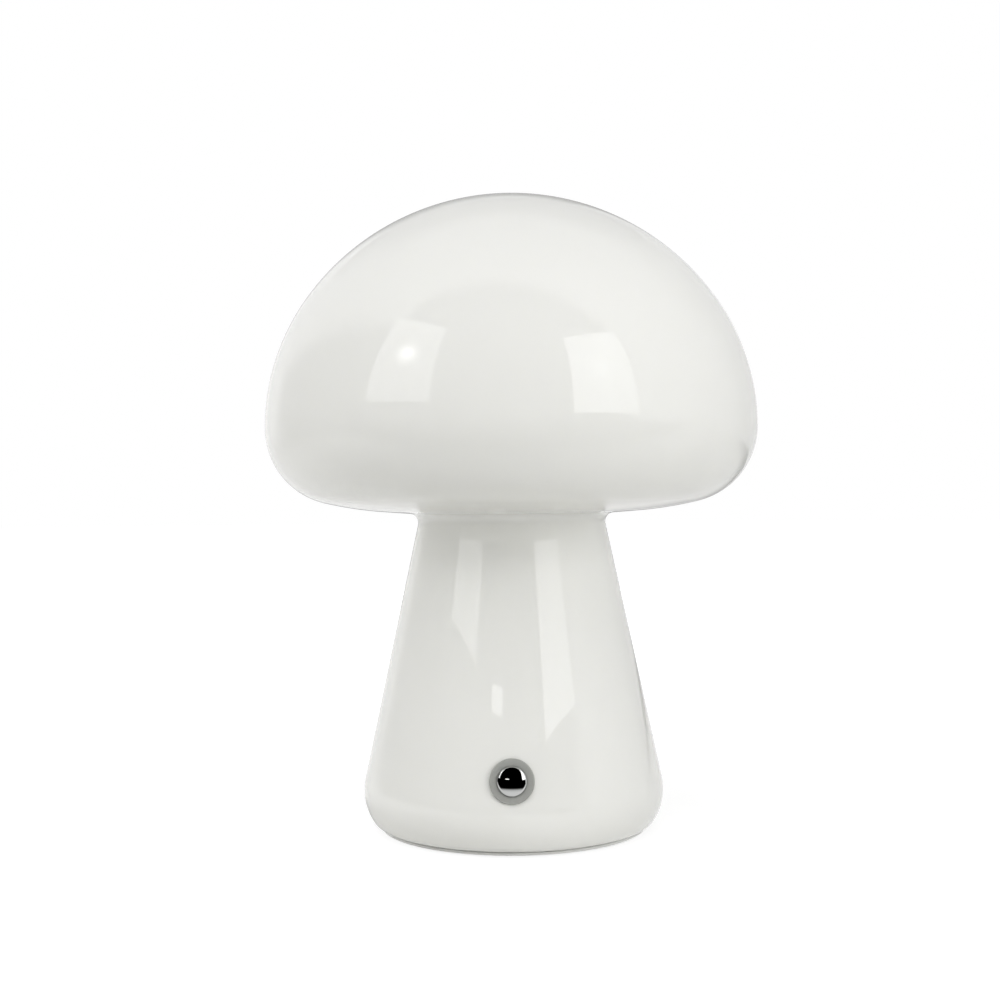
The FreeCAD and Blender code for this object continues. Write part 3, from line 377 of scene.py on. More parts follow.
class LampShape(bpy.types.PropertyGroup):
    """Sizes of the pieces that show."""
    overall_height: length("Height", "From the table to the crown", 200)
    cap_diameter: length("Cap width", "Across the cap at its widest", 155)
    crown_angle: angle("Crown angle", "Where the crown passes into the shoulder", 56.5)
    shoulder_radius: length("Shoulder radius", "Radius of the cap's shoulder", 68.9)
    rim_radius: length("Rim radius", "Radius of the cap's rim", 24)
    rim_turn: angle("Rim turn", "How far the rim turns under", 76.8)
    underside_radius: length("Underside radius", "Radius of the cap's underside", 122.5)
    underside_slope: angle("Underside slope", "Slope of the underside at the neck", 4.2)
    neck_fillet: length("Neck fillet", "Radius where the stem meets the cap", 2.8)
    stem_flare: angle("Stem flare", "Lean of the stem's side", 12.1)
    foot_diameter: length("Foot width", "Across the stem at its foot", 94.8)
    foot_round_radius: length("Foot rounding", "Radius at the foot of the stem", 16.7)
    foot_round_drop: angle("Foot rounding turn", "Where the foot's rounding meets the lip", 32.9)
    lip_radius: length("Lip radius", "Radius of the turned-in lip", 4.15)
    lip_drop: angle("Lip turn", "How far the lip turns in", 72.9)
    mouth_height: length("Mouth height", "The lip's lowest point over the table", 1.8)
    glass_wall: length("Glass wall", "Thickness of the blown glass", 2.6)
    inlet_height: length("Button height", "The button and the charging inlet over the table", 22.9)
    flange_radius: length("Ring radius", "Outside of the ring on the glass", 6.55)
    flange_proud: length("Ring height", "The ring's face over the glass", 0.9)
    flange_sink: length("Ring sink", "How far the ring reaches down round the stem", 0.8)
    flange_round: length("Ring rounding", "Rounding of the ring's outer edge", 0.4)
    barrel_radius: length("Barrel radius", "The threaded barrel in the glass", 5.4)
    barrel_length: length("Barrel length", "How far the barrel reaches in", 9.0)
    pocket_depth: length("Pocket depth", "The button's pocket in its barrel", 5.0)
    button_radius: length("Button radius", "The chrome dome's edge", 4.35)
    button_crown: length("Button crown", "Radius of the dome", 12.5)
    button_round: length("Button rounding", "Rounding of the dome's edge", 0.8)
    button_side: length("Button side", "The straight side over the ring", 0.3)
    button_skirt: length("Button skirt", "How far the dome's side reaches down", 2.5)
    skirt_wall: length("Skirt wall", "Thickness of the dome's side", 0.8)
    stem_radius: length("Button stem", "Radius of the stem under the dome", 1.5)
    socket_width: length("Socket width", "Across the charging socket", 8.94)
    socket_height: length("Socket height", "Height of the charging socket", 3.26)
    plate_gap: length("Plate gap", "Between the plate and the mouth", 0.6)
    plate_top: length("Plate top", "Top of the plate's rim over the table", 2.2)
    plate_round: length("Plate edge", "Rounding of the plate's lower edge", 0.3)
    brim_reach: length("Brim reach", "How far the plate's brim reaches under the lip", 0.2)
    brim_top: length("Brim top", "Top of the brim over the table", 1.5)
    seat_width: length("Seat wall", "Between the mouth and the plate's raised middle", 4.2)
    seat_top: length("Seat top", "Top of the plate's raised middle", 3.5)
    pad_margin: length("Pad margin", "Between the plate's edge and the pad", 5.1)
    pad_proud: length("Pad height", "The pad's face under the plate", 0.6)
    pad_recess: length("Pad recess", "How far the pad is let in", 0.7)
    screw_circle: length("Screw circle", "Distance of the base screws from the axis", 29.49)

    @property
    def crown_radius(self):
        """The crown's radius, from the cap's width and the shoulder that it passes into."""
        lean = math.sin(self.crown_angle)
        return (self.cap_diameter / 2 - self.shoulder_radius * (1 - lean)) / lean


class LampFinish(bpy.types.PropertyGroup):
    """Colours of the pieces that show."""
    glass_colour: colour("Opal glass", "Body colour of the blown glass", "F2F2EE")
    ring_colour: colour("Button ring", "The translucent grey ring", "A9AAA6")
    plate_colour: colour("Base plate", "The moulded white plate", "E6E6E3")
    pad_colour: colour("Foot pad", "The silicone pad under the lamp", "8E8E90")


class LampStudio(bpy.types.PropertyGroup):
    """Light and view."""
    camera_place: bpy.props.FloatVectorProperty(
        name="Camera", description="Where the camera stands", default=(-0.00367, -0.4571, 0.1038),
        subtype="TRANSLATION", unit="LENGTH")
    camera_roll: angle("Roll", "The camera's roll", 0.448)
    lens: bpy.props.FloatProperty(
        name="Lens", description="Focal length in millimetres", default=51.58)
    ambient: bpy.props.FloatProperty(
        name="Room light", description="Light from the pale room", default=0.125)
    fill: bpy.props.FloatProperty(
        name="Fill lights", description="How strongly the soft boxes light, 1 as drawn",
        default=1.0)


# ---------------------------------------------------------------- stage

# The stage is in metres, and its azimuths go from the camera's side towards the right.
STAGE_MIDDLE = (0, 0, 0.1)
STAGE_DISTANCE = 1.2
FLOOR_RADIUS = 6.0
CAMERA_REACH = 50
# How far the lamp's button is turned away from the camera's line.
VIEW_TURN = math.radians(1.08)
WHITE = (1, 1, 1, 1)
# Soft boxes that light the lamp, as (azimuth, elevation, watts), and their width.
FILL_LIGHTS = [(45, 15, 6.3), (270, 15, 5.7), (0, 45, 3.8), (315, 45, 1.8), (0, 78, 1.6),
               (180, 8, 4.0)]
FILL_SIZE = 0.8
# Soft boxes that the gloss shows, as (name, place, turn in degrees, size, level, how much brighter
# the middle is).
SOFT_PANELS = [
    ("right_panel", (0.329, -0.403, 0.350), 42.5, (0.26, 0.385), 2.4, 2.2),
    ("left_panel", (-0.4145, -0.364, 0.4415), -53, (0.295, 0.452), 1.7, 7.0),
    ("small_panel", (-0.124, -0.505, 0.184), -14, (0.084, 0.018), 2.7, 0.0),
    # A black flag keeps the small panel out of the cap's gloss.
    ("black_flag", (-0.068, -0.3, 0.162), 0, (0.08, 0.034), 0.0, 0.0),
]
# The bright middle reaches a panel's width over this from the centre.
HOT_SPOT = 3.2
# Grey cards behind the lamp, as (name, azimuth, elevation, size, level). Towards both sides they
# fade out between these two shares of their width from the middle.
GREY_CARDS = [
    ("grey_card_right", 150, 12, (1.6, 1.8), 0.85),
    ("grey_card_back", 180, 6, (0.9, 1.4), 0.4),
    ("grey_card_top", 180, 48, (1.6, 0.6), 0.75),
]
CARD_FADE = (0.25, 0.5)
# The paper's colour to the light. To the eye it is a thin matt coat, which takes the soft shadow,
# and a glow that rises outwards from the lamp.
PAPER_TO_LIGHT = "E8E8E6"
PAPER_COAT = 0.25
PAPER_GLOW = {"From Min": 0.08, "From Max": 0.3, "To Min": 0.86, "To Max": 1.0}
# The paper's level in the gloss, and where painted shade makes it darker, as (centre, inner and
# outer distance, level inside): the lamp's own shadow painted at the foot, and painted shade
# behind on the right and towards the left wall.
PAPER_IN_GLOSS = 0.97
PAPER_PAINTED_SHADES = [((-0.02, 0.0, 0.0), 0.04, 0.065, 0.6), ((0.45, 0.75, 0.0), 0.1, 0.55, 0.35),
                ((-1.3, 0.2, 0.0), 0.2, 1.05, 0.25)]
# The black drape that the gloss shows in front, on the left and over the camera. It leaves the
# paper under the lamp and the ceiling behind it bare.
DRAPE_LEFT = -1.5
DRAPE_RIGHT = 2.6
DRAPE_FRONT = -1.5
DRAPE_BACK = 1.35
DRAPE_TOP = 1.6
DRAPE_LIFT = 0.6 * MM
PAPER_EDGE = -0.108
# Where the drape thins out, as (direction, where it is whole, where it is gone) along the
# direction: towards the right, backwards, and upwards at the back.
WALL_FADES = [((1, 0, 0), 1.6, DRAPE_RIGHT), ((0, 1, 0), -0.4, 2.3), ((0, 0.6, 1), 0.9, 1.6)]
# The same for its floor cloth, towards the lamp. The steep fall with height leaves the walls whole.
FLOOR_FADE = (-0.26, PAPER_EDGE + 0.008)
FLOOR_FALL = 200
# The edges of the cloth overhead, each as a slope to the right and where it crosses the middle.
OVERHEAD_EDGES = [(0.43, -0.105), (0.03, -0.48), (-0.405, -0.48)]
OVERHEAD_FADE = 0.09


def round_place(azimuth, elevation):
    """A point of the stage round the lamp."""
    turn, tilt = math.radians(azimuth), math.radians(elevation)
    return (STAGE_MIDDLE[0] + STAGE_DISTANCE * math.cos(tilt) * math.sin(turn),
            STAGE_MIDDLE[1] - STAGE_DISTANCE * math.cos(tilt) * math.cos(turn),
            STAGE_MIDDLE[2] + STAGE_DISTANCE * math.sin(tilt))


def fill_light(azimuth, elevation, power):
    """A soft box that faces the lamp. It lights without showing in the gloss, where the studio's
    walls and panels show instead."""
    place = round_place(azimuth, elevation)
    clear_selection()
    bpy.ops.object.light_add(type="AREA", location=place)
    box = bpy.context.object
    box.name = "fill_%d_%d" % (azimuth, elevation)
    box.rotation_euler = (Vector(STAGE_MIDDLE) - Vector(place)).to_track_quat("-Z", "Y").to_euler()
    box.data.shape = "RECTANGLE"
    box.data.size = box.data.size_y = FILL_SIZE
    box.data.energy = power
    box.visible_glossy = False
    box.visible_camera = False


def seen_rays(tree):
    """1 for the rays that show a background to the camera, to gloss and through glass, else 0."""
    path = add_node(tree, "ShaderNodeLightPath")
    first = add_node(tree, "ShaderNodeMath", (), {0: path.outputs["Is Camera Ray"],
                     1: path.outputs["Is Glossy Ray"]}, operation="MAXIMUM")
    return add_node(tree, "ShaderNodeMath", (), {0: first.outputs["Value"],
                    1: path.outputs["Is Transmission Ray"]}, operation="MAXIMUM")


def floor_paper():
    """Matt white background paper: pale to the light, white with a soft shadow to the eye, and in
    the gloss white, with painted shade that darkens some zones."""
    material, tree = new_material("matt_background_paper")
    place = add_node(tree, "ShaderNodeTexCoord")
    away = add_node(tree, "ShaderNodeVectorMath", (), {0: place.outputs["Object"]},
                    operation="LENGTH")
    level = add_node(tree, "ShaderNodeMapRange", PAPER_GLOW, {"Value": away.outputs["Value"]})
    path = add_node(tree, "ShaderNodeLightPath")
    pale = add_node(tree, "ShaderNodeBsdfDiffuse", {"Color": rgba(PAPER_TO_LIGHT)})
    thin = add_node(tree, "ShaderNodeBsdfDiffuse", {"Color": (PAPER_COAT,) * 3 + (1,)})
    glow = add_node(tree, "ShaderNodeEmission", {"Color": WHITE},
                    {"Strength": level.outputs["Result"]})
    shown = add_node(tree, "ShaderNodeAddShader", (), {0: thin.outputs[0], 1: glow.outputs[0]})
    dim = None
    # Painted shade in what the gloss shows: the lamp's shadow at the foot and dimmer paper further
    # off.
    for centre, inner, outer, dark in PAPER_PAINTED_SHADES:
        far = add_node(tree, "ShaderNodeVectorMath", {1: centre}, {0: place.outputs["Object"]},
                       operation="DISTANCE")
        shade = add_node(tree, "ShaderNodeMapRange",
                         {"From Min": inner, "From Max": outer, "To Min": dark,
                          "To Max": PAPER_IN_GLOSS},
                         {"Value": far.outputs["Value"]}, interpolation_type="SMOOTHSTEP")
        if dim:
            shade = add_node(tree, "ShaderNodeMath", (), {0: dim.outputs[0], 1: shade.outputs[0]},
                             operation="MINIMUM")
        dim = shade
    in_gloss = add_node(tree, "ShaderNodeEmission", {"Color": WHITE}, {"Strength": dim.outputs[0]})
    seen = seen_rays(tree)
    mixed = add_node(tree, "ShaderNodeMixShader", (), {0: seen.outputs["Value"], 1: pale.outputs[0],
                     2: shown.outputs[0]})
    mixed = add_node(tree, "ShaderNodeMixShader", (), {0: path.outputs["Is Glossy Ray"],
                     1: mixed.outputs[0], 2: in_gloss.outputs[0]})
    add_node(tree, "ShaderNodeOutputMaterial", (), {"Surface": mixed.outputs[0]})
    return material


def show_in_gloss_only(thing):
    """A stage piece that no ray sees but those that gloss reflects."""
    for ray in ("camera", "diffuse", "shadow", "transmission"):
        setattr(thing, "visible_" + ray, False)


def fading_drape(name, level, fades):
    """Drape cloth of one grey that thins out towards its edges: each fade is (direction, where it
    is whole, where it is gone), in the piece's own units along the direction."""
    material, tree = new_material(name)
    place = add_node(tree, "ShaderNodeTexCoord")
    cover = None
    for direction, whole, gone in fades:
        along = add_node(tree, "ShaderNodeVectorMath", {1: direction}, {0: place.outputs["Object"]},
                         operation="DOT_PRODUCT")
        ramp = add_node(tree, "ShaderNodeMapRange", {"From Min": whole, "From Max": gone},
                        {"Value": along.outputs["Value"]}, interpolation_type="SMOOTHSTEP")
        if cover:
            ramp = add_node(tree, "ShaderNodeMath", (), {0: ramp.outputs[0], 1: cover.outputs[0]},
                            operation="MAXIMUM")
        cover = ramp
    cloth = add_node(tree, "ShaderNodeEmission", {"Color": WHITE, "Strength": level})
    gap = add_node(tree, "ShaderNodeBsdfTransparent")
    mixed = add_node(tree, "ShaderNodeMixShader", (), {0: cover.outputs[0], 1: cloth.outputs[0],
                     2: gap.outputs[0]})
    add_node(tree, "ShaderNodeOutputMaterial", (), {"Surface": mixed.outputs[0]})
    return material


def keep_faces(thing, keep):
    """Deletes the faces whose middle the test turns down."""
    take_up(thing)
    set_mode("EDIT")
    bpy.ops.mesh.select_mode(type="FACE")
    bpy.ops.mesh.select_all(action="DESELECT")
    set_mode("OBJECT")
    for face in thing.data.polygons:
        face.select = not keep(face.center)
    set_mode("EDIT")
    bpy.ops.mesh.delete(type="FACE")
    bpy.ops.mesh.select_mode(type="VERT")
    set_mode("OBJECT")


def black_drape():
    """The unlit side of the studio: floor cloth, front wall, and a left wall that pales
    backwards."""
    clear_selection()
    bpy.ops.mesh.primitive_cube_add(size=1, location=(
        (DRAPE_RIGHT + DRAPE_LEFT) / 2, (DRAPE_BACK + DRAPE_FRONT) / 2,
        (DRAPE_TOP + DRAPE_LIFT) / 2))
    drape = bpy.context.object
    drape.name = "black_drape"
    drape.scale = (DRAPE_RIGHT - DRAPE_LEFT, DRAPE_BACK - DRAPE_FRONT, DRAPE_TOP - DRAPE_LIFT)
    bpy.ops.object.transform_apply()
    set_mode("EDIT")
    bpy.ops.mesh.select_all(action="SELECT")
    bpy.ops.mesh.bisect(plane_co=(0, PAPER_EDGE, 0), plane_no=(0, 1, 0))
    set_mode("OBJECT")
    keep_faces(drape, lambda face: face.x < DRAPE_RIGHT - MM and face.y < DRAPE_BACK - MM
               and (face.z > MM or face.y < PAPER_EDGE) and face.z < DRAPE_TOP - MM)
    sink = FLOOR_FALL * DRAPE_LIFT
    drape.data.materials.append(fading_drape("black_drape_cloth", 0.0, [
        ((0, 1, -FLOOR_FALL), FLOOR_FADE[0] - sink, FLOOR_FADE[1] - sink)] + WALL_FADES))
    show_in_gloss_only(drape)


def overhead_drape():
    """The black cloth over the camera, with soft edges towards the bright ceiling."""
    clear_selection()
    bpy.ops.mesh.primitive_plane_add(size=1, location=(
        (DRAPE_LEFT + DRAPE_RIGHT) / 2, DRAPE_FRONT / 2, DRAPE_TOP))
    cloth = bpy.context.object
    cloth.name = "overhead_drape"
    cloth.scale = (DRAPE_RIGHT - DRAPE_LEFT, -DRAPE_FRONT, 1)
    bpy.ops.object.transform_apply()
    cloth.data.materials.append(fading_drape("overhead_drape_cloth", 0.0, [
        ((-slope, 1, 0), middle - OVERHEAD_FADE, middle + OVERHEAD_FADE)
        for slope, middle in OVERHEAD_EDGES]))
    show_in_gloss_only(cloth)


def gloss_plane(name, place, rotation, size, material):
    """A flat stage piece for the gloss alone."""
    clear_selection()
    bpy.ops.mesh.primitive_plane_add(size=1, location=place, rotation=rotation)
    plane = bpy.context.object
    plane.name = name
    plane.scale = size + (1,)
    plane.data.materials.append(material)
    show_in_gloss_only(plane)


def soft_panel(name, place, turn, size, level, hot):
    """The lit face of a soft box as the gloss shows it: an even panel with a brighter middle."""
    material, tree = new_material(name + "_cloth")
    spot = add_node(tree, "ShaderNodeTexCoord")
    round_spot = add_node(tree, "ShaderNodeMapping",
                          {"Scale": (HOT_SPOT, HOT_SPOT * size[1] / size[0], 1)},
                          {"Vector": spot.outputs["Object"]})
    falloff = add_node(tree, "ShaderNodeTexGradient", (), {"Vector": round_spot.outputs[0]},
                       gradient_type="QUADRATIC_SPHERE")
    strength = add_node(tree, "ShaderNodeMapRange", {"To Min": level, "To Max": level + hot},
                        {"Value": falloff.outputs["Fac"]})
    glow = add_node(tree, "ShaderNodeEmission", {"Color": WHITE},
                    {"Strength": strength.outputs[0]})
    add_node(tree, "ShaderNodeOutputMaterial", (), {"Surface": glow.outputs[0]})
    gloss_plane(name, place, (math.pi / 2, 0, math.radians(turn)), size, material)


def grey_card(name, azimuth, elevation, size, level):
    """A card behind the lamp, turned to it."""
    place = round_place(azimuth, elevation)
    facing = (Vector(STAGE_MIDDLE) - Vector(place)).to_track_quat("Z", "Y").to_euler()
    gloss_plane(name, place, facing, size, fading_drape(name + "_cloth", level, [
        (side,) + CARD_FADE for side in ((1, 0, 0), (-1, 0, 0))]))


class LAMP_OT_stage(bpy.types.Operator):
    """Lays the paper, hangs the drapes and panels, and sets the lights, the view and the world"""
    bl_idname = "lamp.stage"
    bl_label = "Stage, lights and camera"

    def execute(self, context):
        studio = context.scene.lamp_studio
        lamp = set(context.scene.objects)
        clear_selection()
        bpy.ops.mesh.primitive_circle_add(vertices=SMALL_TURNS, radius=FLOOR_RADIUS,
                                          fill_type="NGON")
        floor = context.object
        floor.name = "floor"
        floor.data.materials.append(floor_paper())
        black_drape()
        overhead_drape()
        for panel in SOFT_PANELS:
            soft_panel(*panel)
        for card in GREY_CARDS:
            grey_card(*card)
        for azimuth, elevation, power in FILL_LIGHTS:
            fill_light(azimuth, elevation, power * studio.fill)
        self.world(studio)
        bpy.ops.object.camera_add(location=studio.camera_place,
                                  rotation=(math.pi / 2, studio.camera_roll, 0))
        context.object.data.lens = studio.lens
        context.object.data.clip_end = CAMERA_REACH
        context.scene.camera = context.object
        context.view_layer.update()
        turn = Matrix.Rotation(VIEW_TURN, 4, "Z")
        for thing in set(context.scene.objects) - lamp:
            thing.matrix_world = turn @ thing.matrix_world
        context.scene.view_settings.view_transform = "Standard"
        return {"FINISHED"}

    def world(self, studio):
        """A white room to the eye and a softer one as a light."""
        world = bpy.data.worlds.new("pale_room")
        world.use_nodes = True
        bpy.context.scene.world = world
        tree = world.node_tree
        tree.nodes.clear()
        seen = seen_rays(tree)
        level = add_node(tree, "ShaderNodeMapRange", {"To Min": studio.ambient, "To Max": 1.0},
                         {"Value": seen.outputs["Value"]})
        room = add_node(tree, "ShaderNodeBackground", {"Color": WHITE},
                        {"Strength": level.outputs["Result"]})
        add_node(tree, "ShaderNodeOutputWorld", (), {"Surface": room.outputs[0]})


# ---------------------------------------------------------------- glass

def opal_glass(finish):
    """Opal glass, mouth-blown and fire-polished: near-white and deep, with a sharp clear gloss that
    wanders a little where the glass sagged and cooled."""
    return surface("blown_opal_glass", tuple(finish.glass_colour), 0.015, grain=38, relief=0.03,
                   shade=0.008, gloss_change=0.005, Subsurface_Weight=0.15,
                   Subsurface_Radius=(1.0, 1.0, 0.9), Subsurface_Scale=2 * MM)


class LAMP_OT_glass(bpy.types.Operator):
    """Blows the cap and the stem as one glass, open at the mouth and drilled front and back"""
    bl_idname = "lamp.glass"
    bl_label = "Glass body"

    def execute(self, context):
        shape = context.scene.lamp_shape
        outer = glass_arcs(shape, 0.0)
        inner = [(centre, radius, last, first, max(steps // 2, 4))
                 for centre, radius, first, last, steps
                 in reversed(glass_arcs(shape, shape.glass_wall))]
        start = arc_point(outer[0][0], outer[0][1], outer[0][2])
        moves = walk_arcs(outer, STEM_CUTS)
        moves.append(line(0.0, shape.overall_height - shape.glass_wall))
        moves += walk_arcs(inner, STEM_CUTS // 2)
        moves.append(line(*start))
        glass = turn_round(trace_outline("glass_envelope", start, moves), GLASS_TURNS)
        for side in (-1, 1):
            clear_selection()
            bpy.ops.mesh.primitive_cylinder_add(
                vertices=SMALL_TURNS, radius=shape.barrel_radius + CLEARANCE, depth=DRILL_LENGTH)
            drill = context.object
            into_wall(drill, side, shape)
            cut_with(glass, drill)
        finish_piece(glass, "lamp", opal_glass(context.scene.lamp_finish), "opal_glass",
                     "glass_body")
        return {"FINISHED"}


# ---------------------------------------------------------------- button, inlet and base

def flange_moves(shape):
    """From the rim of the flange's face, over its rounded edge and down the barrel."""
    rounding = shape.flange_round
    return [
        line(shape.flange_radius - rounding, shape.flange_proud),
        arc((shape.flange_radius - rounding, shape.flange_proud - rounding), 90, 10),
        line(shape.flange_radius, -shape.flange_sink),
        line(shape.barrel_radius, -shape.flange_sink),
        line(shape.barrel_radius, -shape.barrel_length),
    ]


def seat_on_stem(piece, side, shape):
    """Cuts the underside of a flange to the round stem, with clearance to the glass."""
    bore, reach, deep = shape.barrel_radius + CLEARANCE, 2 * shape.flange_radius, shape.glass_wall
    collar = turn_round(trace_outline("collar", (bore, -deep), [
        line(reach, -deep), line(reach, deep), line(bore, deep), line(bore, -deep)]), SMALL_TURNS)
    into_wall(collar, side, shape)
    low, high = shape.inlet_height - reach, shape.inlet_height + reach
    clear_selection()
    bpy.ops.mesh.primitive_cone_add(
        vertices=GLASS_TURNS, radius1=stem_out(shape, low, CLEARANCE),
        radius2=stem_out(shape, high, CLEARANCE), depth=high - low,
        location=(0, 0, shape.inlet_height))
    cut_with(collar, bpy.context.object, "INTERSECT")
    cut_with(piece, collar)


class LAMP_OT_button(bpy.types.Operator):
    """Turns the chrome dome that is pressed and the frosted ring that holds it"""
    bl_idname = "lamp.button"
    bl_label = "Button and ring"

    def execute(self, context):
        shape = context.scene.lamp_shape
        self.dome(shape)
        self.ring(shape, context.scene.lamp_finish)
        return {"FINISHED"}

    def dome(self, shape):
        edge, stem, groove = shape.button_radius, shape.stem_radius, 1.1 * MM
        inside = edge - shape.skirt_wall
        skirt = shape.flange_proud - shape.button_skirt
        under = skirt + 1.0 * MM
        end = -shape.barrel_length - 1.5 * MM
        # Near its end the stem has the groove of the clip that keeps the button in.
        clip_low, clip_high = end + 0.9 * MM, end + 1.5 * MM
        side_top = shape.flange_proud + shape.button_side
        round_out = edge - shape.button_round
        reach = shape.button_crown - shape.button_round
        drop = math.sqrt(reach ** 2 - round_out ** 2)
        crown_turn = math.degrees(math.asin(round_out / reach))
        dome = trace_outline("button_dome", (0.0, end), [
            line(stem, end), line(stem, clip_low), line(groove, clip_low), line(groove, clip_high),
            line(stem, clip_high), line(stem, under), line(inside, under), line(inside, skirt),
            line(edge, skirt), line(edge, side_top),
            arc((round_out, side_top), crown_turn - 90, 16),
            arc((0.0, side_top - drop), -crown_turn, 24)])
        turn_round(dome, SMALL_TURNS)
        soften(dome, TURNED_EDGE)
        into_wall(dome, -1, shape)
        # Hard, thin chrome over polished brass: a near-perfect mirror that darkens what it shows.
        chrome = surface("polished_chrome_plate", rgba("C6C7C6"), 0.02, metallic=1.0, grain=4,
                         relief=0.001, shade=0.02, gloss_change=0.01)
        finish_piece(dome, "button", chrome, "button_chrome", "button")

    def ring(self, shape, finish):
        lip, bore = shape.button_radius + 0.07 * MM, shape.button_radius + 0.2 * MM
        inner = shape.stem_radius + 0.05 * MM
        top, edge = shape.flange_proud, TURNED_EDGE
        ledge = top - 0.5 * MM
        ring = trace_outline("button_ring_frosted", (lip, top - edge), [
            arc((lip + edge, top - edge), 90, 4)] + flange_moves(shape) + [
            line(inner, -shape.barrel_length), line(inner, -shape.pocket_depth),
            line(bore, -shape.pocket_depth), line(bore, ledge), line(lip, ledge),
            line(lip, top - edge)])
        turn_round(ring, SMALL_TURNS)
        into_wall(ring, -1, shape)
        seat_on_stem(ring, -1, shape)
        # Bead-blasted translucent acrylic: grey and matt, and paler where light comes through its
        # edge.
        frosted = surface("bead_blasted_grey_acrylic", tuple(finish.ring_colour), 0.42, ior=1.49,
                          grain=0.9, relief=0.01, shade=0.12, Subsurface_Weight=0.4,
                          Subsurface_Radius=(1.0, 1.0, 0.95), Subsurface_Scale=1.2 * MM)
        finish_piece(ring, "lamp", frosted, "ring_plastic", "button_ring")


class LAMP_OT_inlet(bpy.types.Operator):
    """Moulds the charging inlet's body in the back of the stem"""
    bl_idname = "lamp.inlet"
    bl_label = "Charging inlet"

    def execute(self, context):
        shape = context.scene.lamp_shape
        body = trace_outline("inlet_body", (0.0, shape.flange_proud),
                             flange_moves(shape) + [line(0.0, -shape.barrel_length)])
        turn_round(body, SMALL_TURNS)
        cut_with(body, self.slot(shape))
        soften(body, MOULDED_EDGE)
        into_wall(body, 1, shape)
        seat_on_stem(body, 1, shape)
        finish_piece(body, "lamp", white_abs(context.scene.lamp_finish), "white_plastic",
                     "port_body")
        return {"FINISHED"}

    def slot(self, shape):
        """The tool for the socket's opening: a bar with round ends. Known fault: faces stay selected
        after the first move, so the second one takes the right end back and that side is short."""
        height = shape.socket_height + 0.2 * MM
        clear_selection()
        bpy.ops.mesh.primitive_cylinder_add(vertices=64, radius=height / 2, depth=30 * MM)
        slot = bpy.context.object
        set_mode("EDIT")
        bpy.ops.mesh.select_all(action="SELECT")
        bpy.ops.mesh.bisect(plane_co=(0, 0, 0), plane_no=(1, 0, 0))
        set_mode("OBJECT")
        spread = (shape.socket_width - shape.socket_height) / 2
        for side in (1, -1):
            for corner in slot.data.vertices:
                corner.select = side * corner.co.x > MERGE_DISTANCE
            set_mode("EDIT")
            bpy.ops.transform.translate(value=(side * spread, 0, 0))
            set_mode("OBJECT")
        return slot


class LAMP_OT_base(bpy.types.Operator):
    """Moulds the plate that closes the mouth and the pad that the lamp stands on"""
    bl_idname = "lamp.base"
    bl_label = "Base plate and foot pad"

    def execute(self, context):
        shape, finish = context.scene.lamp_shape, context.scene.lamp_finish
        rim = mouth_radius(shape) - shape.plate_gap
        pad = rim - shape.pad_margin
        self.plate(shape, finish, rim, pad)
        self.pad(shape, finish, pad)
        return {"FINISHED"}

    def plate(self, shape, finish, rim, pad):
        low, deep = shape.pad_proud, shape.pad_proud + shape.pad_recess
        seat, brim = mouth_radius(shape) - shape.seat_width, mouth_radius(shape) + shape.brim_reach
        rounding = shape.plate_round
        plate = turn_round(trace_outline("base_plate_moulded", (0.0, shape.seat_top), [
            line(seat, shape.seat_top), line(seat, shape.plate_top), line(rim, shape.plate_top),
            line(rim, shape.brim_top), line(brim, shape.brim_top), line(brim, low + rounding),
            arc((brim - rounding, low + rounding), 90, 10),
            line(pad + CLEARANCE, low), line(pad + CLEARANCE, deep), line(0.0, deep)]), GLASS_TURNS)
        soften(plate, PLATE_EDGE)
        # Each screw has its hole right through the plate, and a wider one for its head from below.
        for quarter in range(4):
            turn = math.radians(45 + 90 * quarter)
            place = (shape.screw_circle * math.cos(turn), shape.screw_circle * math.sin(turn))
            for radius, top in ((1.3 * MM, 10 * MM), (2.3 * MM, deep + 1.2 * MM)):
                clear_selection()
                bpy.ops.mesh.primitive_cylinder_add(
                    vertices=48, radius=radius, depth=top + DRILL_START,
                    location=place + ((top - DRILL_START) / 2,))
                cut_with(plate, bpy.context.object)
        finish_piece(plate, "lamp", white_abs(finish), "white_plastic", "base_plate")

    def pad(self, shape, finish, pad):
        """A ring of silicone with fine grooves that grip the table."""
        top, inner, groove, depth = shape.pad_proud + shape.pad_recess, pad / 3, 0.8 * MM, 0.4 * MM
        moves = [line(pad, top), line(pad, 0.0)]
        count = 7
        pitch = (pad - inner) / (count + 1)
        for step in range(1, count + 1):
            out = pad - step * pitch
            moves += [line(out + groove / 2, 0.0), line(out + groove / 2, depth),
                      line(out - groove / 2, depth), line(out - groove / 2, 0.0)]
        moves += [line(inner, 0.0), line(inner, top)]
        piece = turn_round(trace_outline("foot_pad_grooved", (inner, top), moves), GLASS_TURNS)
        soften(piece, MOULDED_EDGE)
        # Compression-moulded silicone: dull mid grey with a soft, dusty sheen.
        silicone = surface("compression_moulded_silicone", tuple(finish.pad_colour), 0.62,
                           grain=0.8, relief=0.02, ior=1.41, shade=0.05)
        finish_piece(piece, "lamp", silicone, "grey_silicone", "foot_pad")


# ---------------------------------------------------------------- pieces kept from the frame

def white_abs(finish):
    """Injection-moulded ABS from a fine-etched tool: warm white with an even satin gloss. One
    material for every piece moulded from it."""
    return bpy.data.materials.get("moulded_white_abs") or surface(
        "moulded_white_abs", tuple(finish.plate_colour), 0.38, grain=0.5, relief=0.01, shade=0.02)


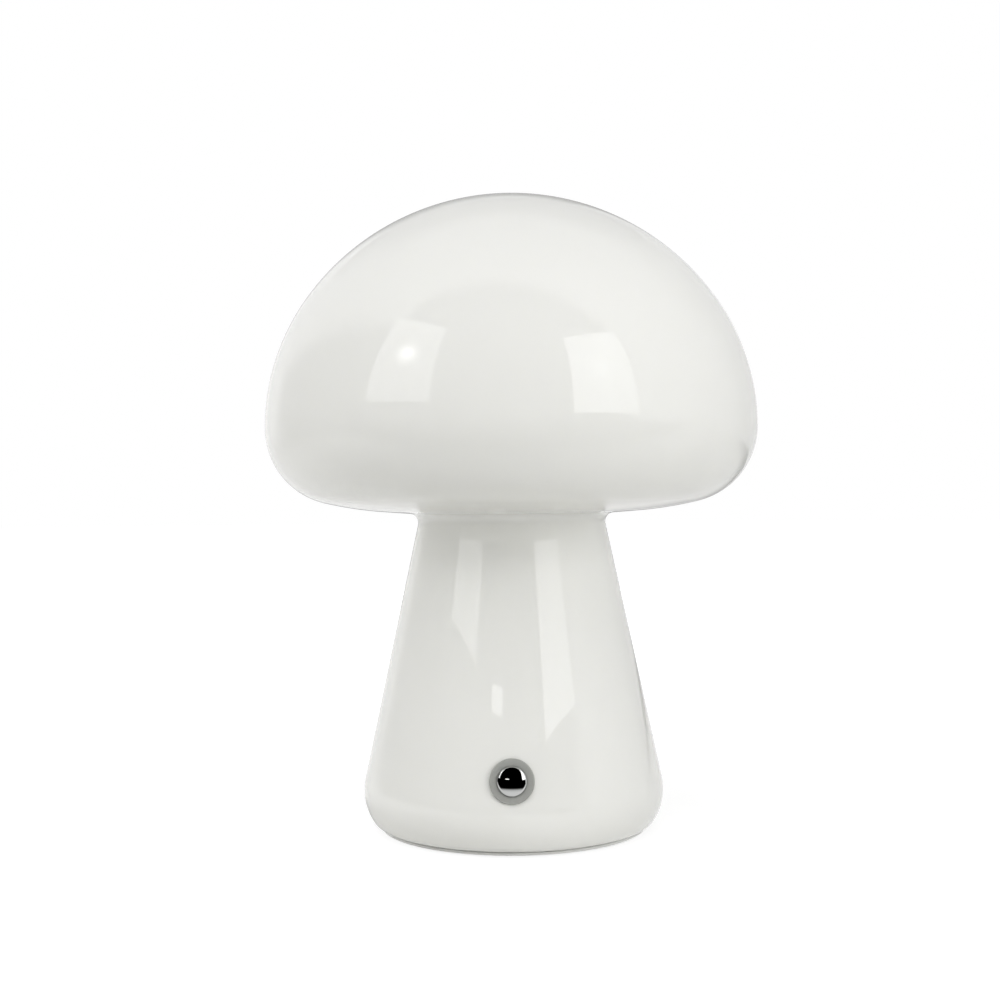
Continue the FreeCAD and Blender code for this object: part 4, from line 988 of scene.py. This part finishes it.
def core_finishes(finish):
    """Each kept piece of the frame with the material of the real one."""
    # Compression-moulded silicone, undyed: milky, with a soft, slightly tacky sheen.
    clear_silicone = surface("moulded_clear_silicone", rgba("D6D6D2"), 0.45, grain=1.5, relief=0.01,
                             ior=1.41)
    # Turned and forged steel, electroplated with zinc: blue-grey with a cloudy, fine spangle.
    zinc = surface("zinc_plated_steel", rgba("A8AAAC"), 0.36, metallic=1.0, grain=1.2, relief=0.005,
                   shade=0.12)
    # Hard-drawn spring wire: grey and bright, with fine streaks from the die.
    spring = surface("drawn_spring_wire", rgba("A2A3A5"), 0.3, metallic=1.0, grain=0.3,
                     relief=0.003)
    # Heat-shrunk film round the cell: glossy blue that wrinkles a little where it drew tight.
    sleeve = surface("heat_shrunk_film", rgba("5B88B8"), 0.28, grain=3, relief=0.02, shade=0.06)
    # Cold-rolled nickel strip: warm grey with a soft grain along the rolling.
    nickel = surface("rolled_nickel_strip", rgba("C9C4B8"), 0.3, metallic=1.0, grain=0.6,
                     relief=0.003, stretch=(1, 8, 1))
    # Pressed aluminium sheet: pale and satin, with the mill's grain across it.
    aluminium = surface("pressed_aluminium", rgba("C8C9CB"), 0.34, metallic=1.0, grain=0.5,
                        relief=0.004, stretch=(6, 1, 1))
    # Screen-printed solder masks: smooth and glossy, the green one mottled by the copper under it.
    white_board = surface("white_solder_mask", rgba("EDEDE8"), 0.3, grain=2, relief=0.01)
    green_board = surface("green_solder_mask", rgba("2F6B45"), 0.32, grain=1.4, relief=0.02,
                          shade=0.2)
    # Dispensed silicone gel full of phosphor powder: yellow and faintly grainy.
    phosphor = surface("phosphor_gel", rgba("E8C96A"), 0.4, grain=0.4, relief=0.02, shade=0.1)
    # Polycarbonate from a blasted tool: dull white that lets light through without a view.
    frosted = surface("frosted_polycarbonate", rgba("F0F0EC"), 0.55, grain=0.3, relief=0.01,
                      Transmission_Weight=0.5)
    # Transfer-moulded epoxy: near-black and dull, with a fine pepper of filler.
    epoxy = surface("moulded_black_epoxy", rgba("26272A"), 0.5, grain=0.3, relief=0.01, shade=0.2)
    # Deep-drawn stainless shell: bright and smooth, with a faint haze from the die.
    socket = surface("drawn_stainless_shell", rgba("BDBEC0"), 0.22, metallic=1.0, grain=0.6,
                     relief=0.003)
    # Extruded PVC round the wires: even colour with a waxy shine.
    leads = {name: surface(name + "_pvc_lead", rgba(code), 0.35, grain=1.0, relief=0.01)
             for name, code in (("red", "A8322E"), ("white", "E8E8E4"), ("black", "1E1E20"))}
    return {
        white_abs(finish): ("base_tub", "column", "led_carrier", "cell_cap", "switch_housing",
                            "board_connectors", "button_nut", "port_nut"),
        clear_silicone: ("mouth_gasket", "button_washer", "port_washer"),
        zinc: ("ballast_weight", "column_screws", "base_screws", "board_screws", "led_screws",
               "button_clip"),
        spring: ("button_spring",),
        sleeve: ("battery_cell",),
        nickel: ("bottom_contact", "top_contact", "switch_terminals", "port_terminals"),
        aluminium: ("heat_sink",),
        white_board: ("led_board",),
        green_board: ("main_board", "port_board"),
        phosphor: ("led_chips",),
        frosted: ("diffuser",),
        epoxy: ("board_parts", "switch_body", "switch_plunger", "port_tongue"),
        socket: ("port_shell",),
        leads["red"]: ("led_leads",),
        leads["white"]: ("switch_leads",),
        leads["black"]: ("port_leads",),
    }


class LAMP_OT_core(bpy.types.Operator):
    """Gives every kept piece of the frame its material"""
    bl_idname = "lamp.core"
    bl_label = "Kept pieces"

    def execute(self, context):
        for material, names in core_finishes(context.scene.lamp_finish).items():
            for name in names:
                slots = frame["nodes"][name].data.materials
                slots.clear()
                slots.append(material)
        return {"FINISHED"}


class LAMP_PT_panel(bpy.types.Panel):
    """The lamp's sizes, colours and steps"""
    bl_idname = "LAMP_PT_panel"
    bl_label = "Mushroom Table Lamp"
    bl_space_type = "VIEW_3D"
    bl_region_type = "UI"
    bl_category = "Lamp"

    def draw(self, context):
        scene = context.scene
        for group in (scene.lamp_shape, scene.lamp_finish, scene.lamp_studio):
            box = self.layout.box()
            for name in group.bl_rna.properties.keys():
                if name not in ("rna_type", "name"):
                    box.prop(group, name)
        for operator in STEPS:
            self.layout.operator(operator.bl_idname)


GROUPS = {"lamp_shape": LampShape, "lamp_finish": LampFinish, "lamp_studio": LampStudio}
STEPS = (LAMP_OT_stage, LAMP_OT_core, LAMP_OT_glass, LAMP_OT_button, LAMP_OT_inlet, LAMP_OT_base)


def register():
    for name, group in GROUPS.items():
        bpy.utils.register_class(group)
        setattr(bpy.types.Scene, name, bpy.props.PointerProperty(type=group))
    for step in STEPS:
        bpy.utils.register_class(step)
    bpy.utils.register_class(LAMP_PT_panel)


def unregister():
    bpy.utils.unregister_class(LAMP_PT_panel)
    for step in STEPS[::-1]:
        bpy.utils.unregister_class(step)
    for name, group in GROUPS.items():
        delattr(bpy.types.Scene, name)
        bpy.utils.unregister_class(group)


def main():
    register()
    for step in STEPS:
        family, name = step.bl_idname.split(".")
        getattr(getattr(bpy.ops, family), name)()


if __name__ == "__main__":
    main()
